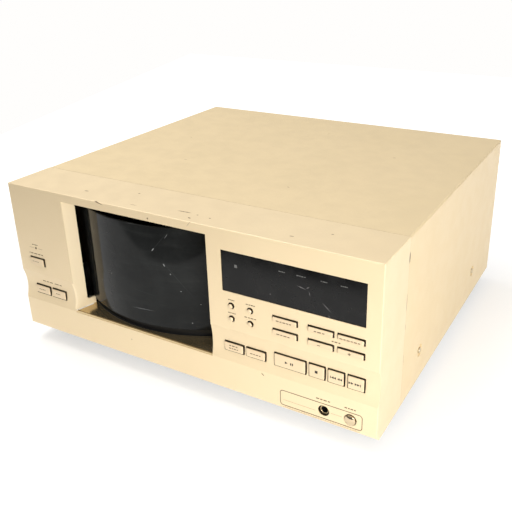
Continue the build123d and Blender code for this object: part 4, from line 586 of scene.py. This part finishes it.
def front_print():
    """Short marks and thin lines beside the controls, the standby lamp and the caption in the band."""
    rows = []
    for x, z, width in ((66.1, 98.7, 6.5), (86.2, 98.7, 9.5), (66.1, 85.3, 8.0), (85.7, 85.3, 12.0)):
        rows += dashes(x, z, width, 0.9, WORD)
    rows += dashes(169.9, 85.4, 8.0, 1.0, SHORT)
    rows += dashes(158.5, 22.6, 13.5, 1.1, WORD)
    rows += dashes(184.5, 22.4, 10.5, 1.1, WORD)
    rows += dashes(-183.9, 100.9, 8.0, 0.9, WORD)
    rows += dashes(-184.0, 90.3, 20.0, 0.9, (1, -1, 3, -1, 4, -1, 3, -1, 2))
    slabs("front_marks", rows, 0.0, INK, "case")
    fine = [bar(-192.6, -186.3, 97.0, 97.35), bar(-180.0, -173.1, 97.0, 97.35)]
    fine.append(bar(166.6, 177.0, 11.0, 11.35))
    fine.append(bar(118.5, 151.0, 8.6, 8.95))
    slabs("front_lines", fine, 0.0, INK_PALE, "case")
    slabs("standby_lamp", [bar(-183.9, -181.9, 96.3, 98.3)], 0.0, INK, "case", 0.3)
    caption = dashes(-169.6, 57.0, 28.0, 0.9, (3, -1, 2, -1, 3, -2, 4, -1, 2))
    slabs("band_marks", caption, band_y(57.0), INK, "case", 0.12)


def rounded_ring(x0, x1, z0, z1, r, line, steps=6):
    """Quads between two rounded rectangles."""
    loops = []
    for grow in (0.0, -line):
        loop = []
        middles = ((x1 - r, z1 - r, 0), (x0 + r, z1 - r, 90), (x0 + r, z0 + r, 180), (x1 - r, z0 + r, 270))
        for cx, cz, start in middles:
            for i in range(steps + 1):
                a = math.radians(start + 90 * i / steps)
                loop.append((cx + (r + grow) * math.cos(a), cz + (r + grow) * math.sin(a)))
        loops.append(loop)
    count = len(loops[0])
    return [[loops[0][i], loops[0][(i + 1) % count], loops[1][(i + 1) % count], loops[1][i]]
            for i in range(count)]


def socket_frame():
    """Thin box round socket and knob, with short slanting strokes under it."""
    box = rounded_ring(*LINE_BOX, LINE_BOX_CORNER, LINE_BOX_WIDE)
    slabs("socket_line", box, 0.0, INK, "case", 0.05)
    ticks = []
    x, end, step = STROKES
    while x < end:
        ticks.append([(x, 1.1), (x + 0.35, 1.1), (x + 1.25, 2.3), (x + 0.9, 2.3)])
        x += step
    ticks.append(bar(118.0, 194.0, 0.75, 1.05))
    slabs("socket_hatching", ticks, 0.0, INK_PALE, "case")


# caps: signs for their functions, drawn on their fronts
def triangle(x, z, size, way):
    return [(x - way * size / 2, z - size / 2), (x + way * size / 2, z), (x - way * size / 2, z + size / 2)]


def cap_signs():
    size = 2.5
    signs = {
        "play_pause_button": [triangle(121.4, 48.7, 2.7, 1), bar(125.3, 126.4, 47.5, 49.9),
                              bar(127.1, 128.2, 47.5, 49.9)],
        "stop_button": [bar(149.8, 152.5, 47.4, 50.1)],
        "previous_button": [bar(164.5, 165.2, 47.3, 49.7), triangle(166.6, 48.5, size, -1),
                            triangle(168.9, 48.5, size, -1), triangle(172.3, 48.5, size, -1),
                            triangle(174.6, 48.5, size, -1)],
        "next_button": [triangle(183.1, 48.5, size, 1), triangle(185.4, 48.5, size, 1),
                        triangle(188.8, 48.5, size, 1), triangle(191.1, 48.5, size, 1),
                        bar(192.5, 193.2, 47.3, 49.7)],
    }
    for body, outlines in signs.items():
        slabs(body.replace("button", "sign"), outlines, front_of(body), INK_DARK, body)
    labels = {
        "open_close_button": dashes(65.3, 49.0, 9.0, 0.9, SHORT) + dashes(65.3, 46.0, 10.0, 0.9, WORD),
        "unload_button": dashes(89.1, 47.0, 11.0, 0.9, WORD),
        "timer_button": dashes(-185.0, 46.2, 9.0, 0.8, WORD),
        "dimmer_button": dashes(-161.0, 46.4, 6.0, 0.8, SHORT),
        "disc_button_a": dashes(120.9, 91.6, 15.0, 0.9, WORD + (-1, 2)),
        "disc_button_b": dashes(120.3, 78.4, 13.0, 0.9, WORD),
        "disc_button_c": dashes(155.2, 91.8, 10.0, 0.9, SHORT),
        "disc_button_e": dashes(183.2, 91.7, 18.5, 0.9, WORD + (-1, 3, -1, 2)),
        "disc_button_d": [bar(153.4, 156.2, 78.6, 79.3)],
        "disc_button_f": [bar(181.7, 184.5, 78.6, 79.3), bar(182.75, 183.45, 77.6, 80.3)],
        "power_button": dashes(-184.0, 82.0, 9.0, 0.6, WORD),
    }
    for body, outlines in labels.items():
        slabs(body.replace("button", "sign"), outlines, front_of(body), INK, body)


def display_marks():
    """Captions over the display, and the eye of the receiver behind it."""
    rows = []
    for x, width in ((118.2, 6.0), (136.6, 8.5), (157.7, 6.0), (175.8, 6.0)):
        rows += dashes(x, 139.0, width, 0.8, WORD)
    slabs("display_marks", rows, DISPLAY_Y, INK_GREY, "case")
    slabs("remote_eye", [bar(70.5, 73.3, 132.0, 135.0)], DISPLAY_Y, INK_GREY, "case")


def lathe(name, profile, x, z, material, body, slot_name, steps=48):
    """Turns radius and depth pairs about an axis along Y."""
    bm = bmesh.new()
    rings = []
    for r, y in profile:
        ring = []
        for i in range(steps):
            a = 2 * math.pi * i / steps
            ring.append(bm.verts.new(place(x + r * math.cos(a), y, z + r * math.sin(a))))
        rings.append(ring)
    for a, b in zip(rings, rings[1:] + rings[:1]):
        for i in range(steps):
            j = (i + 1) % steps
            bm.faces.new((a[i], a[j], b[j], b[i]))
    mesh = mesh_of(name, bm)
    for face in mesh.polygons:
        face.use_smooth = True
    return new_piece(name, mesh, material, body)


def shelf_highlight():
    """Painted highlight: a bright narrow bead where the floor plate of the recess meets its left wall,
    standing for the shine of the rounded edge.
    """
    start, end = (-134.9, 0.6), (-129.6, 20.0)
    section = ((0, 0), (0.7, 0), (0.5, 0.7), (0, 0.7))
    bm = bmesh.new()
    rings = []
    for x, y in (start, end):
        rings.append([bm.verts.new(place(x + dx, y, SHELF_Z + dz)) for dx, dz in section])
    closed_between(bm, rings)
    # a light finish for the bead: painted highlight
    highlight_finish = plain("bead_highlight", (0.85, 0.83, 0.78), 0.3).material
    return new_piece("shelf_highlight", mesh_of("shelf_highlight", bm), highlight_finish, "case")


def socket_ring():
    """Bright ring on the nose of the phones socket, behind the face."""
    profile = [(3.3, 2.3), (3.35, 1.95), (3.6, 1.8), (3.95, 1.8), (4.2, 1.95), (4.25, 2.3)]
    lathe("phones_ring", profile, *SOCKET, finish_of("gold_gloss"), "case", "gold_gloss")


front_print()
socket_frame()
cap_signs()
display_marks()
shelf_highlight()
socket_ring()


# ------------------------------------------------------------------ floor, light and camera
FLOOR_CORNERS = ((-0.75, -0.47), (0.75, -0.47), (1.3, 1.6), (-1.3, 1.6))
FLOOR_TONES = ((0.66, 0.66, 0.66), (0.63, 0.63, 0.63))
FLOOR_GLOW = (0.35, 1.0, 0.36, 0.75)         # from and to which distance, and how bright at each
FLOOR_MIDDLE = (0.0, -0.10, 0.0)
DOME = {"From Min": 0.0, "From Max": 0.7, "To Min": 0.08, "To Max": 0.75}
DAYLIGHT = (1.0, 0.98, 0.95)
LAMPS = [                                    # name, place, aim, size, watts, tint
    ("key", (0.48, -0.64, 0.28), (0.05, -0.15, 0.09), 0.35, 2.5, DAYLIGHT),
    ("fill", (0.82, -0.74, 0.30), (-0.05, -0.15, 0.09), 0.4, 4.4, DAYLIGHT),
    ("right", (1.00, 0.60, 0.40), (0.2, 0.1, 0.09), 0.6, 1.4, (1.0, 0.92, 0.87)),
    ("top", (-0.50, -0.10, 1.20), (-0.15, 0.0, 0.15), 1.0, 9.8, (1.0, 0.985, 0.955)),
]


def stage_and_light():
    """White floor, bright round the object's surroundings, a soft dome and four soft lamps."""
    corners = [(x, y, 0.0) for x, y in FLOOR_CORNERS]
    mesh = bpy.data.meshes.new("floor")
    mesh.from_pydata(corners, [], [(0, 1, 2, 3)])
    floor = bpy.data.objects.new("floor", mesh)
    bpy.context.scene.collection.objects.link(floor)
    f = Finish("floor_white", 0.7, Emission_Color=(1.0, 1.0, 1.0, 1.0))
    f.set("Base Color", f.mix(f.noise(1.5), *FLOOR_TONES))
    away = f.node("ShaderNodeVectorMath", operation="DISTANCE")
    f.put(away.inputs[0], f.here)
    away.inputs[1].default_value = FLOOR_MIDDLE
    f.set("Emission Strength", f.span(away.outputs["Value"], *FLOOR_GLOW))
    mesh.materials.append(f.material)
    world = bpy.data.worlds.new("studio")
    bpy.context.scene.world = world
    world.use_nodes = True
    nodes, links = world.node_tree.nodes, world.node_tree.links
    height = nodes.new("ShaderNodeSeparateXYZ")
    links.new(nodes.new("ShaderNodeTexCoord").outputs["Generated"], height.inputs[0])
    dome = nodes.new("ShaderNodeMapRange")
    links.new(height.outputs[2], dome.inputs["Value"])
    for key, value in DOME.items():
        dome.inputs[key].default_value = value
    seen = nodes.new("ShaderNodeMix")
    links.new(nodes.new("ShaderNodeLightPath").outputs["Is Camera Ray"], seen.inputs["Factor"])
    links.new(dome.outputs[0], seen.inputs["A"])
    seen.inputs["B"].default_value = 1.0
    sky = nodes["Background"]
    sky.inputs["Color"].default_value = (1.0, 0.99, 0.975, 1.0)
    links.new(seen.outputs["Result"], sky.inputs["Strength"])
    for name, spot, target, size, watts, tint in LAMPS:
        lamp = bpy.data.lights.new(name, "AREA")
        lamp.shape = "SQUARE"
        lamp.size = size
        lamp.energy = watts
        lamp.color = tint
        holder = bpy.data.objects.new(name, lamp)
        bpy.context.scene.collection.objects.link(holder)
        holder.location = spot
        holder.rotation_euler = (Vector(spot) - Vector(target)).to_track_quat("Z", "Y").to_euler()


# the camera's own directions, and its place in millimetres as place() takes it
CAMERA_RIGHT = Vector((0.8688, 0.4949, -0.0180))
CAMERA_DOWN = Vector((0.1788, -0.3472, -0.9206))
CAMERA_AHEAD = Vector((-0.4619, 0.7965, -0.3901))
CAMERA_AT = (370.5, -445.1, 397.4)
SENSOR = 36.0
LENS = 47.78
SHIFT = (-0.0357, -0.0571)
CLIP = (0.01, 100.0)


def camera():
    """Stands where the photograph was taken from."""
    data = bpy.data.cameras.new("camera")
    holder = bpy.data.objects.new("camera", data)
    bpy.context.scene.collection.objects.link(holder)
    holder.rotation_mode = "QUATERNION"
    turned = Matrix((CAMERA_RIGHT, -CAMERA_DOWN, -CAMERA_AHEAD)).transposed()
    holder.rotation_quaternion = turned.to_quaternion()
    holder.location = place(*CAMERA_AT)
    data.sensor_width = SENSOR
    data.lens = LENS
    data.shift_x, data.shift_y = SHIFT
    data.clip_start, data.clip_end = CLIP
    bpy.context.scene.camera = holder


stage_and_light()
camera()
bpy.context.scene.view_settings.view_transform = "Standard"
bpy.context.scene.view_settings.look = "None"
bpy.context.view_layer.update()
